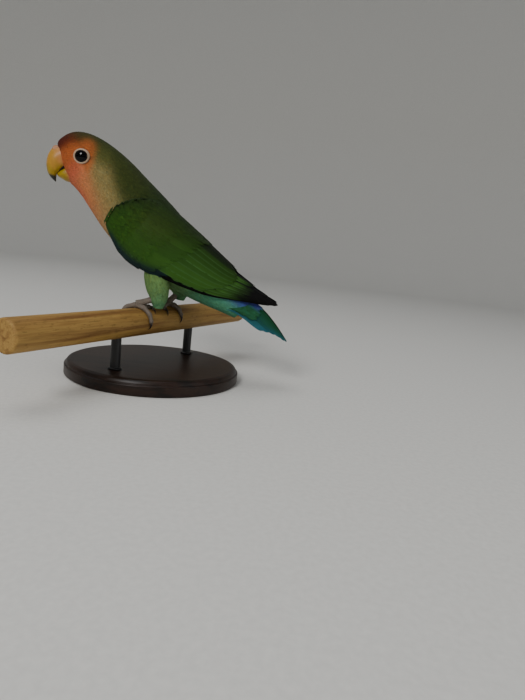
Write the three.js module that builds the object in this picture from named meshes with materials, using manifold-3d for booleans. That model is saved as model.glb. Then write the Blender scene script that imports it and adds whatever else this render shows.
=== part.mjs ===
// Peach-faced lovebird at life size, gripping a cut length of round wooden perch on a plain display stand.
// Millimetres, +Z up. The bird faces -X with its left side towards -Y, and its middle plane is Y = 0.
// The origin is the middle of the stand's underside, straight below the perch between the two feet.

import * as THREE from "three";
import { mergeVertices } from "three/addons/utils/BufferGeometryUtils.js";
import Module from "manifold-3d";

const wasm = await Module();
wasm.setup();

const { degToRad, lerp, clamp, smoothstep } = THREE.MathUtils;
const LEFT = -1;
const RIGHT = 1;
const UP = new THREE.Vector3(0, 0, 1);

// Clearance kept between neighbouring pieces
const GAP = 0.3;

// Display stand
const BASE_RADIUS = 47;
const BASE_THICKNESS = 8;
const BASE_EDGE = 1.5;
const ROD_RADIUS = 2.5;
const ROD_HEIGHT = 15.6;
const ROD_SPACING = 64;

// Perch: a dowel that the bird stands across, turned away from the bird's own heading
const PERCH_RADIUS = 7.3;
const PERCH_HEADING = degToRad(65.5);
const PERCH_NEAR_LENGTH = 97;
const PERCH_FAR_LENGTH = 92;
const PERCH_CHAMFER = 0.8;
const PERCH_HEIGHT = BASE_THICKNESS + ROD_HEIGHT + PERCH_RADIUS;

// Head: turned towards the bird's left about an upright axis through the neck
const HEAD_TURN = degToRad(14);
const NECK_PIVOT_X = -27;
const TURN_FULL_AT = 4.6;
const TURN_NONE_AT = 8.6;

// Where the body is parted: head, neck, torso and tail, in stations of the body below
const FACE_START = 0.05;
const HEAD_END = 5.0;
const NECK_END = 8.1;
const TORSO_END = 15.6;

// Body from the face to the root of the tail: each section spans from its top to its bottom in the middle
// plane as [x, z], and is that far to each side. low is how much wider it is below its middle than above.
const BODY = [
  { name: "face pole", top: [-51.6, 106.8], bottom: [-51.6, 106.8], half: 0, low: 0 },
  { name: "face", top: [-56.0, 115.4], bottom: [-49.4, 98.3], half: 5.0, low: 0 },
  { name: "brow", top: [-53.0, 120.0], bottom: [-47.2, 96.0], half: 8.7, low: 0.02 },
  { name: "crown", top: [-47.4, 122.9], bottom: [-44.8, 93.6], half: 11.3, low: 0.05 },
  { name: "ear", top: [-40.6, 122.9], bottom: [-42.6, 91.0], half: 12.5, low: 0.08 },
  { name: "nape", top: [-33.0, 120.4], bottom: [-40.4, 88.0], half: 13.0, low: 0.08 },
  { name: "neck", top: [-25.4, 116.2], bottom: [-36.9, 83.2], half: 13.7, low: 0.06 },
  { name: "collar", top: [-18.1, 110.9], bottom: [-32.8, 77.8], half: 15.0, low: 0.04 },
  { name: "shoulder", top: [-10.7, 104.6], bottom: [-27.6, 72.2], half: 16.8, low: 0.02 },
  { name: "breast", top: [-2.8, 98.0], bottom: [-21.0, 66.6], half: 18.2, low: 0.02 },
  { name: "keel", top: [5.0, 91.2], bottom: [-13.8, 61.0], half: 18.7, low: 0.03 },
  { name: "belly", top: [12.2, 84.2], bottom: [-6.2, 56.0], half: 18.2, low: 0.03 },
  { name: "flank", top: [19.0, 77.0], bottom: [2.0, 51.6], half: 16.8, low: 0.02 },
  { name: "vent", top: [25.4, 69.8], bottom: [10.2, 47.6], half: 14.5, low: 0.0 },
  { name: "rump", top: [31.6, 62.8], bottom: [18.6, 44.2], half: 11.8, low: 0.0 },
  { name: "crissum", top: [38.2, 57.0], bottom: [26.6, 41.6], half: 9.4, low: 0.0 },
  { name: "tail root", top: [45.0, 51.6], bottom: [34.4, 39.2], half: 7.6, low: 0.0 },
  { name: "tail coverts", top: [51.4, 46.6], bottom: [42.2, 36.6], half: 6.0, low: 0.0 },
];

// The folded wings lie on a surface of their own, wider than the body, with sections from the bend of the
// wing to its point. lower and upper are the angles, in degrees above the side, that a wing spans.
const WING_BED = [
  { name: "bend", top: [-13.0, 104.6], bottom: [-32.6, 69.6], half: 19.2, lower: -24, upper: 0 },
  { name: "forearm", top: [-7.4, 100.0], bottom: [-28.0, 64.6], half: 20.4, lower: -32, upper: 38 },
  { name: "elbow", top: [0.4, 93.8], bottom: [-22.2, 59.2], half: 21.2, lower: -42, upper: 66 },
  { name: "hand", top: [8.4, 87.6], bottom: [-15.4, 54.6], half: 21.2, lower: -44, upper: 76 },
  { name: "hand coverts", top: [16.6, 81.3], bottom: [-7.4, 50.4], half: 20.2, lower: -38, upper: 81 },
  { name: "flight roots", top: [25.0, 74.9], bottom: [2.0, 47.0], half: 18.4, lower: -18, upper: 83 },
  { name: "secondaries", top: [33.4, 68.4], bottom: [12.2, 44.4], half: 16.0, lower: -11, upper: 84 },
  { name: "inner tips", top: [41.6, 62.2], bottom: [23.4, 42.8], half: 13.0, lower: -14, upper: 84 },
  { name: "middle tips", top: [49.6, 56.6], bottom: [37.0, 43.6], half: 9.8, lower: -14, upper: 82 },
  { name: "outer tips", top: [58.2, 51.6], bottom: [51.4, 43.9], half: 6.6, lower: -10, upper: 74 },
  { name: "point", top: [66.6, 47.6], bottom: [63.4, 44.0], half: 3.6, lower: -5, upper: 60 },
];
// The solid part of the wing, under its feathers, stops short of the point and is thinnest there
const WING_CORE_END = 5.4;
const WING_CORE_ROWS = 10;
const WING_CORE_COLUMNS = 7;
const WING_CORE_LIFT = 0.7;
const WING_DEPTH = 2.2;
const WING_REAR_DEPTH = 0.8;

// Rows of wing feathers, from the body outwards. roots and tips are the first and last feather's station
// and angle on the bed, bow lets the row of tips bulge towards the wing's point, and each feather is half
// as wide as given, lies that far off the bed, and tilts by that much so that it laps the one below it.
const WING_ROWS = [
  {
    name: "primaries", count: 6, half: 3.0, lift: 0.1, tilt: 0.5, bow: 1.2,
    roots: [[3.2, -30], [3.9, 30]], tips: [[9.0, -2], [8.2, 74]],
  },
  {
    name: "primary coverts", count: 2, half: 3.0, lift: 0.6, tilt: 0.4, bow: 0,
    roots: [[2.0, -36], [2.6, -24]], tips: [[4.8, -28], [5.3, -13]],
  },
  {
    name: "secondaries", count: 6, half: 4.4, lift: 0.9, tilt: 0.55, bow: 0.8,
    roots: [[3.4, -12], [3.2, 66]], tips: [[6.5, -6], [6.7, 78]],
  },
  {
    name: "greater coverts", count: 6, half: 4.3, lift: 1.3, tilt: 0.5, bow: 0.3,
    roots: [[2.0, -20], [1.9, 56]], tips: [[4.2, -20], [4.8, 70]],
  },
];

// A feather's outline as [share of its length, share of its greatest half width]
const VANE_OUTLINE = [
  [0, 0.6],
  [0.42, 0.96],
  [0.84, 0.88],
  [1, 0.16],
];
const VANE_THICKNESS = 0.62;
const VANE_TIP_THICKNESS = 0.3;
const VANE_THINS_AT = 0.74;
const VANE_CAMBER = 0.2;
const ROOT_SINK = 1.0;
const ROOT_SUNK_UNTIL = 0.42;

// Bill: both halves as sections from the root, inside the face, to the tip, before the head is turned
const UPPER_BILL = [
  { name: "root", top: [-48.6, 114.4], bottom: [-46.0, 106.6], half: 4.6 },
  { name: "feather line", top: [-56.2, 114.8], bottom: [-49.8, 106.0], half: 5.5 },
  { name: "bridge", top: [-59.7, 110.9], bottom: [-52.6, 104.1], half: 5.1 },
  { name: "curve", top: [-60.8, 106.2], bottom: [-54.6, 102.3], half: 4.3 },
  { name: "hook", top: [-60.3, 102.3], bottom: [-56.0, 101.0], half: 3.1 },
  { name: "point", top: [-59.0, 99.5], bottom: [-56.2, 99.2], half: 1.7 },
  { name: "tip", top: [-56.4, 97.2], bottom: [-56.1, 97.5], half: 0.35 },
];
const LOWER_BILL = [
  { name: "root", top: [-45.8, 104.9], bottom: [-44.8, 98.8], half: 3.6 },
  { name: "feather line", top: [-49.8, 104.6], bottom: [-48.6, 97.9], half: 4.5 },
  { name: "middle", top: [-52.6, 102.9], bottom: [-51.2, 98.2], half: 4.1 },
  { name: "front", top: [-54.7, 101.2], bottom: [-53.3, 99.1], half: 3.1 },
  { name: "edge", top: [-55.3, 100.4], bottom: [-54.6, 99.7], half: 1.5 },
];
// Fleshy swelling round each nostril, and the nostril in it
const CERE_POINT = [-55.8, 113.1];
const CERE_SPREAD = 2.3;
const CERE_RADIUS = 1.5;
const NOSTRIL_RADIUS = 0.55;
const UPPER_BILL_ROWS = 10;
const LOWER_BILL_ROWS = 6;
const BILL_SIDES = 12;

// Line of the mouth, run back into the face from the corner of the bill
const MOUTH_LINE = [
  [-51.4, 104.9],
  [-48.6, 106.5],
];
const MOUTH_LINE_RADIUS = 0.4;

// Eye and its bare ring, before the head is turned
const EYE_X = -43.5;
const EYE_HEIGHT = 110.5;
const EYE_RADIUS = 5.3;
const EYE_INSET = 4.2;
const EYE_FORWARD = degToRad(12);
const LID_RADIUS = 3.8;
const LID_TUBE = 0.56;
const LID_REACH = 4.15;
const LID_HEIGHT_RATIO = 0.94;

// Legs: how far along the perch from its middle each foot stands, and where its heel joint is
const FOOT_PLACE = { left: -18.4, right: 9.6 };
const HEEL = { left: [2.0, -12.8, 43.0], right: [9.0, 12.2, 46.0] };
// Thigh, from inside the flank down past the heel: its share of the way back to the heel and what is added to
// that, its distance to the side, its height above the heel and its radius
const THIGH = [
  { share: 0.2, back: -0.6, aside: 11.0, rise: 17.8, radius: 7.0 },
  { share: 0.35, back: 0.0, aside: 11.6, rise: 11.8, radius: 7.0 },
  { share: 0.65, back: 0.5, aside: 12.1, rise: 6.8, radius: 6.2 },
  { share: 0.9, back: 0.8, aside: 12.4, rise: 2.8, radius: 5.1 },
  { share: 1, back: 0.8, aside: 12.6, rise: -0.4, radius: 4.3 },
  { share: 1, back: 0.8, aside: 12.6, rise: -2.4, radius: 3.2 },
];
const THIGH_SIDES = 14;

// Tail: the middle line of its arch, from under the rump to the tips of the middle feathers
const TAIL_LINE = [
  [34.0, 51.0],
  [46.0, 48.4],
  [56.0, 43.6],
  [64.6, 35.6],
  [71.9, 26.6],
];
// Half width of the arch and how far its sides hang below its middle line, at the root, middle and tip
const TAIL_HALF = [5.6, 8.6, 7.0];
const TAIL_DROP = [7.4, 7.0, 3.6];
// Tail feathers in pairs outwards from the middle: how far each pair reaches and its place across the arch
const TAIL_PAIRS = [
  { reach: 1, across: 0.1, half: 2.9 },
  { reach: 0.95, across: 0.3, half: 2.8 },
  { reach: 0.89, across: 0.5, half: 2.8 },
  { reach: 0.83, across: 0.68, half: 2.7 },
  { reach: 0.77, across: 0.84, half: 2.6 },
  { reach: 0.71, across: 0.96, half: 2.4 },
];
// Height of the middle pair over the arch, how much lower each next pair lies, and each one's outward slope
const TAIL_LIFT = 0.3;
const TAIL_STEP = 0.34;
const TAIL_TILT = 0.22;
// Thin layer that the tail feathers grow from, with the depths of its top and underside
const TAIL_CORE_END = 0.4;
const TAIL_CORE_TOP = 0.4;
const TAIL_CORE_UNDER = 1.9;

// How finely the body's lengths are divided, along it and round it
const HEAD_ROWS = 12;
const NECK_ROWS = 6;
const TORSO_ROWS = 15;
const RUMP_ROWS = 4;
const BODY_SIDES = 24;
const CUTTER_ROWS = 40;
const CUTTER_SIDES = 28;

/** Catmull-Rom value between the entries of a list at a station that may lie between two of them. */
function between(list, read, station) {
  const last = list.length - 1;
  const t = clamp(station, 0, last);
  const i = Math.min(Math.floor(t), last - 1);
  const f = t - i;
  const a = read(list[Math.max(i - 1, 0)]);
  const b = read(list[i]);
  const c = read(list[i + 1]);
  const d = read(list[Math.min(i + 2, last)]);
  const bend = 2 * a - 5 * b + 4 * c - d;
  const twist = 3 * b - a - 3 * c + d;
  return 0.5 * (2 * b + (c - a) * f + bend * f ** 2 + twist * f ** 3);
}

/** A section of a list of sections: its middle, the vector to its top, and its half width. */
function sectionAt(list, station) {
  const at = (read) => between(list, read, station);
  const top = new THREE.Vector3(at((s) => s.top[0]), 0, at((s) => s.top[1]));
  const bottom = new THREE.Vector3(at((s) => s.bottom[0]), 0, at((s) => s.bottom[1]));
  return {
    middle: top.clone().add(bottom).multiplyScalar(0.5),
    rise: top.sub(bottom).multiplyScalar(0.5),
    half: Math.max(at((s) => s.half), 0),
    low: at((s) => s.low ?? 0),
  };
}

/** Point on a section at an angle above the side, on a side of the body, grown outwards by an amount. */
function sectionPoint(section, angle, side, grow = 0) {
  const long = section.rise.length() || 1e-6;
  const up = section.rise.clone().multiplyScalar(((long + grow) / long) * Math.sin(angle));
  const wide = (section.half + grow) * Math.cos(angle) * (1 - section.low * Math.sin(angle));
  return section.middle.clone().add(up).add(new THREE.Vector3(0, side * wide, 0));
}

/** Turns a point with the head: fully at the head's stations, not at all past the neck. */
function turnWithHead(point, station = 0) {
  const share = 1 - smoothstep(station, TURN_FULL_AT, TURN_NONE_AT);
  const pivot = new THREE.Vector3(NECK_PIVOT_X, 0, 0);
  return point.sub(pivot).applyAxisAngle(UP, HEAD_TURN * share).add(pivot);
}

/** Point on the body's surface at a station and an angle above the side. */
function bodyPoint(station, angle, side, grow = 0) {
  return turnWithHead(sectionPoint(sectionAt(BODY, station), angle, side, grow), station);
}

/** Point on the bed that a folded wing lies on, lifted off it by an amount. */
function wingPoint(station, angle, side, lift) {
  return sectionPoint(sectionAt(WING_BED, station), angle, side, lift);
}

/** Point on the arch of the tail, a share of the way to the tip and a share of the way out to a side. */
function tailPoint(share, across, lift) {
  const along = clamp(share, 0, 1);
  const curve = new THREE.CatmullRomCurve3(TAIL_LINE.map(([x, z]) => new THREE.Vector3(x, 0, z)));
  const heading = curve.getTangent(along);
  const outwards = new THREE.Vector3(-heading.z, 0, heading.x);
  const half = between(TAIL_HALF, (value) => value, along * 2);
  const drop = between(TAIL_DROP, (value) => value, along * 2);
  return curve
    .getPoint(along)
    .addScaledVector(outwards, lift - drop * across * across)
    .add(new THREE.Vector3(0, half * across, 0));
}

/** Makes a solid of points and triangles, with its faces turned outwards. */
function solidFrom(points, triangles) {
  return solidOf(new THREE.BufferGeometry().setFromPoints(points).setIndex(triangles));
}

/** Makes a solid of a closed three.js geometry: shared corners merged, slivers dropped, faces outwards. */
function solidOf(geometry) {
  const bare = geometry.clone();
  for (const name of Object.keys(bare.attributes)) {
    if (name !== "position") bare.deleteAttribute(name);
  }
  const merged = mergeVertices(bare, 1e-4);
  const index = Array.from(merged.index.array);
  const kept = [];
  for (let i = 0; i < index.length; i += 3) {
    const [a, b, c] = index.slice(i, i + 3);
    if (a !== b && b !== c && a !== c) kept.push(a, b, c);
  }
  const build = (order) =>
    new wasm.Manifold(
      new wasm.Mesh({
        numProp: 3,
        vertProperties: new Float32Array(merged.attributes.position.array),
        triVerts: new Uint32Array(order),
      }),
    );
  const solid = build(kept);
  if (solid.volume() > 0) return solid;
  for (let i = 0; i < kept.length; i += 3) [kept[i + 1], kept[i + 2]] = [kept[i + 2], kept[i + 1]];
  return build(kept);
}

/** Closed solid through rings of points, both ends closed on the middle of their ring. */
function ringSolid(rings) {
  const columns = rings[0].length;
  const points = rings.flat();
  const triangles = [];
  for (let i = 0; i < rings.length - 1; i++) {
    for (let j = 0; j < columns; j++) {
      const a = i * columns + j;
      const b = i * columns + ((j + 1) % columns);
      triangles.push(a, b, a + columns, b, b + columns, a + columns);
    }
  }
  const capEnd = (ring, start, flip) => {
    const centre = ring.reduce((sum, p) => sum.add(p), new THREE.Vector3()).divideScalar(columns);
    const tip = points.push(centre) - 1;
    for (let j = 0; j < columns; j++) {
      const a = start + j;
      const b = start + ((j + 1) % columns);
      if (flip) triangles.push(b, a, tip);
      else triangles.push(a, b, tip);
    }
  };
  capEnd(rings[0], 0, true);
  capEnd(rings[rings.length - 1], (rings.length - 1) * columns, false);
  return solidFrom(points, triangles);
}

/** Closed slab between an outer and an inner sheet of points (row, column), both split up alike. */
function slabSolid(rows, columns, outer, inner) {
  const points = [];
  const triangles = [];
  const wide = columns + 1;
  const sheet = (rows + 1) * wide;
  for (const face of [outer, inner]) {
    for (let i = 0; i <= rows; i++) {
      for (let j = 0; j <= columns; j++) points.push(face(i, j));
    }
  }
  for (let i = 0; i < rows; i++) {
    for (let j = 0; j < columns; j++) {
      const a = i * wide + j;
      triangles.push(a, a + 1, a + wide, a + 1, a + wide + 1, a + wide);
      triangles.push(sheet + a + 1, sheet + a, sheet + a + wide);
      triangles.push(sheet + a + 1, sheet + a + wide, sheet + a + wide + 1);
    }
  }
  const wall = (a, b) => triangles.push(b, a, sheet + a, b, sheet + a, sheet + b);
  for (let j = 0; j < columns; j++) {
    wall(j, j + 1);
    wall(rows * wide + j + 1, rows * wide + j);
  }
  for (let i = 0; i < rows; i++) {
    wall((i + 1) * wide, i * wide);
    wall(i * wide + columns, (i + 1) * wide + columns);
  }
  return solidFrom(points, triangles);
}

/** Round tube along points, with a radius at each, its ring turned as little as possible along the way. */
function tubeSolid(path, radii, sides) {
  const across = new THREE.Vector3(0.31, 0.83, 0.47);
  const rings = path.map((point, i) => {
    const ahead = path[Math.min(i + 1, path.length - 1)];
    const behind = path[Math.max(i - 1, 0)];
    const along = ahead.clone().sub(behind).normalize();
    across.addScaledVector(along, -across.dot(along)).normalize();
    const other = new THREE.Vector3().crossVectors(along, across);
    return Array.from({ length: sides }, (_, j) => {
      const angle = (2 * Math.PI * j) / sides;
      return point
        .clone()
        .addScaledVector(across, radii[i] * Math.cos(angle))
        .addScaledVector(other, radii[i] * Math.sin(angle));
    });
  });
  return ringSolid(rings);
}

/** Keeps the largest closed surface of a solid. */
function largest(solid) {
  return solid.decompose().reduce((best, piece) => (piece.volume() > best.volume() ? piece : best));
}

function joined(pieces) {
  return pieces.reduce((whole, piece) => whole.add(piece));
}

function without(solid, cutters) {
  return cutters.reduce((whole, cutter) => whole.subtract(cutter), solid);
}

/** Named mesh of a solid. */
function meshOf(name, solid, material) {
  const { vertProperties, triVerts, numProp } = largest(solid).getMesh();
  const points = [];
  for (let i = 0; i < vertProperties.length; i += numProp) {
    points.push(new THREE.Vector3(vertProperties[i], vertProperties[i + 1], vertProperties[i + 2]));
  }
  const geometry = new THREE.BufferGeometry().setFromPoints(points).setIndex(Array.from(triVerts));
  geometry.computeVertexNormals();
  const mesh = new THREE.Mesh(geometry, material);
  mesh.name = name;
  return mesh;
}

/** Steps of a bed's station and angle that go a distance square across a feather lying at a heading. */
function stepAcross(bed, station, angle, heading, distance) {
  const small = 0.01;
  const slope = (ds, da) =>
    bed(station + ds, angle + da, 0).sub(bed(station - ds, angle - da, 0)).divideScalar(2 * small);
  const perStation = slope(small, 0);
  const perAngle = slope(0, small);
  const along = perStation.clone().multiplyScalar(heading[0]).addScaledVector(perAngle, heading[1]);
  along.normalize();
  const way = perAngle.clone().addScaledVector(along, -perAngle.dot(along)).setLength(distance);
  const ss = perStation.dot(perStation);
  const sa = perStation.dot(perAngle);
  const aa = perAngle.dot(perAngle);
  const size = ss * aa - sa * sa;
  const toStation = way.dot(perStation);
  const toAngle = way.dot(perAngle);
  return [(aa * toStation - sa * toAngle) / size, (ss * toAngle - sa * toStation) / size];
}

/** One feather's vane on a bed, its root sunk in and its edge towards smaller angles raised by the tilt. */
function vaneSolid(bed, { root, tip, half, lift, tilt }) {
  const heading = [tip[0] - root[0], tip[1] - root[1]];
  const point = (i, j, depth) => {
    const [share, width] = VANE_OUTLINE[i];
    const across = j - 1;
    const station = root[0] + heading[0] * share;
    const angle = root[1] + heading[1] * share;
    const step = stepAcross(bed, station, angle, heading, half * width * across);
    const rise = lerp(-ROOT_SINK, lift, smoothstep(share, 0, ROOT_SUNK_UNTIL));
    const height = rise - tilt * across + VANE_CAMBER * (1 - across * across) - depth;
    return bed(station + step[0], angle + step[1], height);
  };
  const thinning = (i) => smoothstep(VANE_OUTLINE[i][0], VANE_THINS_AT, 1);
  const under = (i, j) => point(i, j, lerp(VANE_THICKNESS, VANE_TIP_THICKNESS, thinning(i)));
  return slabSolid(VANE_OUTLINE.length - 1, 2, (i, j) => point(i, j, 0), under);
}

/** Length of the body between two stations, the body grown outwards by an amount. */
function bodyLength(from, to, rows, columns, grow = 0) {
  const rings = Array.from({ length: rows + 1 }, (_, i) =>
    Array.from({ length: columns }, (_, j) =>
      bodyPoint(lerp(from, to, i / rows), (2 * Math.PI * j) / columns, RIGHT, grow),
    ),
  );
  return ringSolid(rings);
}

/** Share of a station that a gap takes up along the body, at the side where the sections lie closest. */
function gapInStations(station) {
  const step = 0.01;
  const at = (place, angle) => bodyPoint(place, angle, RIGHT);
  const move = (angle) => at(station, angle).distanceTo(at(station + step, angle));
  return (GAP * step) / Math.min(move(Math.PI / 2), move(-Math.PI / 2), move(0));
}

/** One half of the bill, grown outwards by an amount. */
function billSolid(sections, rows, columns, grow = 0) {
  const rings = Array.from({ length: rows + 1 }, (_, i) => {
    const section = sectionAt(sections, ((sections.length - 1) * i) / rows);
    return Array.from({ length: columns }, (_, j) =>
      turnWithHead(sectionPoint(section, (2 * Math.PI * j) / columns, RIGHT, grow)),
    );
  });
  return ringSolid(rings);
}

/** Ball that turns with the head. */
function headBall(place, radius, slices) {
  const ball = new THREE.SphereGeometry(radius, slices, Math.round(slices / 2));
  ball.translate(...turnWithHead(place.clone()).toArray());
  return solidOf(ball);
}

/** The cere's two swellings, in front of the face on the bill's bridge. */
function cereSpot(side) {
  return new THREE.Vector3(CERE_POINT[0], side * CERE_SPREAD, CERE_POINT[1]);
}

/** Upper half of the bill with the cere's swellings, grown outwards by an amount. */
function upperBillSolid(grow = 0) {
  const ceres = [LEFT, RIGHT].map((side) => headBall(cereSpot(side), CERE_RADIUS + grow, 8));
  return joined([billSolid(UPPER_BILL, UPPER_BILL_ROWS, BILL_SIDES, grow), ...ceres]);
}

/** Nostril, sunk into the outer side of a swelling of the cere. */
function nostrilSolid(side) {
  const outwards = new THREE.Vector3(-0.6, side * 0.75, 0.28).multiplyScalar(CERE_RADIUS);
  return headBall(cereSpot(side).add(outwards), NOSTRIL_RADIUS, 6);
}

/** Half width of the unturned head at a length and height, found by a search over its surface. */
function headHalfAt(x, z) {
  const step = 0.02;
  let nearest = { miss: Infinity, half: 0 };
  for (let station = 0.5; station < HEAD_END; station += step) {
    for (let angle = -1.2; angle < 0.9; angle += step) {
      const p = sectionPoint(sectionAt(BODY, station), angle, RIGHT);
      const miss = Math.hypot(p.x - x, p.z - z);
      if (miss < nearest.miss) nearest = { miss, half: p.y };
    }
  }
  return nearest.half;
}

const eyeHalf = headHalfAt(EYE_X, EYE_HEIGHT);

/** The way an eye looks and the middle of its ball, before the head is turned. */
function eyeFrame(side) {
  const looks = new THREE.Vector3(-Math.sin(EYE_FORWARD), side * Math.cos(EYE_FORWARD), 0);
  const middle = new THREE.Vector3(EYE_X, side * eyeHalf, EYE_HEIGHT).addScaledVector(looks, -EYE_INSET);
  return { looks, middle };
}

function eyeSolid(side, grow = 0) {
  return headBall(eyeFrame(side).middle, EYE_RADIUS + grow, 12);
}

/** Lids: a bare oval ring round an eye, standing a little proud of the face. */
function lidSolid(side) {
  const { looks, middle } = eyeFrame(side);
  const ring = new THREE.TorusGeometry(LID_RADIUS, LID_TUBE, 5, 14);
  ring.scale(1, LID_HEIGHT_RATIO, 1);
  ring.applyMatrix4(new THREE.Matrix4().lookAt(looks, new THREE.Vector3(), UP));
  ring.translate(...middle.addScaledVector(looks, LID_REACH).toArray());
  ring.translate(-NECK_PIVOT_X, 0, 0);
  ring.rotateZ(HEAD_TURN);
  ring.translate(NECK_PIVOT_X, 0, 0);
  return solidOf(ring);
}

/** Groove of the mouth, run back into the side of the face from the corner of the bill. */
function mouthGroove(side) {
  const path = MOUTH_LINE.map(([x, z]) => turnWithHead(new THREE.Vector3(x, side * headHalfAt(x, z), z)));
  return tubeSolid(path, [MOUTH_LINE_RADIUS, MOUTH_LINE_RADIUS * 0.5], 6);
}

/** Under layer of a wing that its feathers grow from, round at its edges and thin towards its rear end. */
function wingCore(side) {
  const rows = WING_CORE_ROWS;
  const columns = WING_CORE_COLUMNS;
  const place = (i, j) => {
    const station = (WING_CORE_END * i) / rows;
    const lower = between(WING_BED, (s) => s.lower, station);
    const upper = between(WING_BED, (s) => s.upper, station);
    return [station, degToRad(lerp(lower, upper, j / columns))];
  };
  const front = (i) => Math.min(1, (i + 0.3) / 3);
  const edges = (j) => Math.min(1, 2 * Math.sin((Math.PI * j) / columns));
  const lift = (i, j) => WING_CORE_LIFT * Math.sqrt(front(i) * edges(j)) * lerp(1, -0.2, i / rows);
  const outer = (i, j) => wingPoint(...place(i, j), side, lift(i, j));
  const inner = (i, j) => wingPoint(...place(i, j), side, -lerp(WING_DEPTH, WING_REAR_DEPTH, i / rows));
  return slabSolid(rows, columns, outer, inner);
}

/** The vanes of one row of wing feathers. */
function wingRow(side, row) {
  const bed = (station, angle, lift) => wingPoint(station, angle, side, lift);
  return Array.from({ length: row.count }, (_, i) => {
    const share = i / (row.count - 1);
    const bulge = row.bow * Math.sin(Math.PI * share);
    const place = ([first, last], out) => [
      lerp(first[0], last[0], share) + out,
      degToRad(lerp(first[1], last[1], share)),
    ];
    return vaneSolid(bed, { ...row, root: place(row.roots, 0), tip: place(row.tips, bulge) });
  });
}

/** A folded wing, kept to its own side of the body's middle plane. */
function wingSolid(side) {
  const vanes = WING_ROWS.flatMap((row) => wingRow(side, row));
  const far = new THREE.BoxGeometry(300, 100, 300);
  far.translate(0, (-side * (100 - GAP)) / 2, 0);
  return joined([wingCore(side), ...vanes]).subtract(solidOf(far));
}

/** Fan of the tail: a thin under layer and twelve vanes, the middle pair on top. */
function tailFan() {
  const rows = 3;
  const columns = 6;
  const sheet = (i, j, lift) => tailPoint((TAIL_CORE_END * i) / rows, (2 * j) / columns - 1, lift);
  const top = (i, j) => sheet(i, j, -TAIL_CORE_TOP);
  const under = (i, j) => sheet(i, j, -TAIL_CORE_UNDER);
  const vanes = TAIL_PAIRS.flatMap((pair, i) =>
    [LEFT, RIGHT].map((side) => {
      const across = side * pair.across;
      const root = [0.02, across * 0.8];
      const tip = [pair.reach, across];
      const lift = TAIL_LIFT - TAIL_STEP * i;
      return vaneSolid(tailPoint, { root, tip, half: pair.half, lift, tilt: -side * TAIL_TILT });
    }),
  );
  return joined([slabSolid(rows, columns, top, under), ...vanes]);
}

// Direction along the perch, away from the bird's left, and the level direction square to it
const alongPerch = new THREE.Vector3(Math.cos(PERCH_HEADING), Math.sin(PERCH_HEADING), 0);
const acrossPerch = new THREE.Vector3(Math.sin(PERCH_HEADING), -Math.cos(PERCH_HEADING), 0);

/** Solid turned from a profile of [radius, height] points about the Z axis. */
function turned(profile, slices) {
  const lathe = new THREE.LatheGeometry(
    profile.map(([x, y]) => new THREE.Vector2(x, y)),
    slices,
  );
  lathe.rotateX(Math.PI / 2);
  return lathe;
}

/** Round perch with its ends chamfered, grown outwards by an amount. */
function perchSolid(grow = 0) {
  const r = PERCH_RADIUS + grow;
  const low = -PERCH_NEAR_LENGTH;
  const high = PERCH_FAR_LENGTH;
  const profile = [
    [0, low],
    [r - PERCH_CHAMFER, low],
    [r, low + PERCH_CHAMFER],
    [r, high - PERCH_CHAMFER],
    [r - PERCH_CHAMFER, high],
    [0, high],
  ];
  const dowel = turned(profile, 32);
  dowel.rotateY(Math.PI / 2);
  dowel.rotateZ(PERCH_HEADING);
  dowel.translate(0, 0, PERCH_HEIGHT);
  return solidOf(dowel);
}

function baseSolid() {
  const r = BASE_RADIUS;
  const profile = [
    [0, 0],
    [r, 0],
    [r, BASE_THICKNESS - BASE_EDGE],
    [r - BASE_EDGE, BASE_THICKNESS],
    [0, BASE_THICKNESS],
  ];
  return solidOf(turned(profile, 48));
}

/** A rod from the base up to the perch, its top hollowed to the dowel's round. */
function rodSolid(end) {
  const height = ROD_HEIGHT + PERCH_RADIUS;
  const rod = new THREE.CylinderGeometry(ROD_RADIUS, ROD_RADIUS, height, 16);
  rod.rotateX(Math.PI / 2);
  const foot = alongPerch.clone().multiplyScalar((end * ROD_SPACING) / 2);
  rod.translate(foot.x, foot.y, BASE_THICKNESS + GAP + height / 2);
  return without(solidOf(rod), [perchSolid(GAP)]);
}

// Each foot's toes: which way round the perch each one goes (-1 over the far side, 1 over the near side), how
// far in degrees, how far it spreads along the perch, and its thickness.
const TOES = {
  left: [
    { name: "second", way: -1, reach: 84, spread: 3.4, radius: 1.25 },
    { name: "third", way: -1, reach: 108, spread: -2.6, radius: 1.4 },
    { name: "first", way: 1, reach: 24, spread: 8.4, radius: 1.2 },
    { name: "fourth", way: 1, reach: 84, spread: 2.4, radius: 1.4 },
  ],
  right: [
    { name: "second", way: -1, reach: 88, spread: -3.2, radius: 1.25 },
    { name: "third", way: -1, reach: 108, spread: 2.8, radius: 1.4 },
    { name: "first", way: 1, reach: 36, spread: -9.4, radius: 1.2 },
    { name: "fourth", way: 1, reach: 70, spread: 2.0, radius: 1.4 },
  ],
};
const TOE_STEPS = 6;
const CLAW_STEPS = 2;
const CLAW_REACH = 30;
// The straight steps of a toe lie nearer the perch at their middles by up to this
const TOE_CURVE_ROOM = 0.2;
const CLAW_RADIUS = 0.85;
const CLAW_TIP_RADIUS = 0.18;
const SOLE_RISE = 2.2;
const SHANK_RADII = [1.9, 1.6, 1.55, 1.7, 2.0];

/** Point over the perch: a distance along it, an angle round it from its top and a height off it. */
function overPerch(along, angle, lift) {
  return alongPerch
    .clone()
    .multiplyScalar(along)
    .addScaledVector(acrossPerch, Math.sin(angle) * (PERCH_RADIUS + lift))
    .add(new THREE.Vector3(0, 0, PERCH_HEIGHT + Math.cos(angle) * (PERCH_RADIUS + lift)));
}

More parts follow.
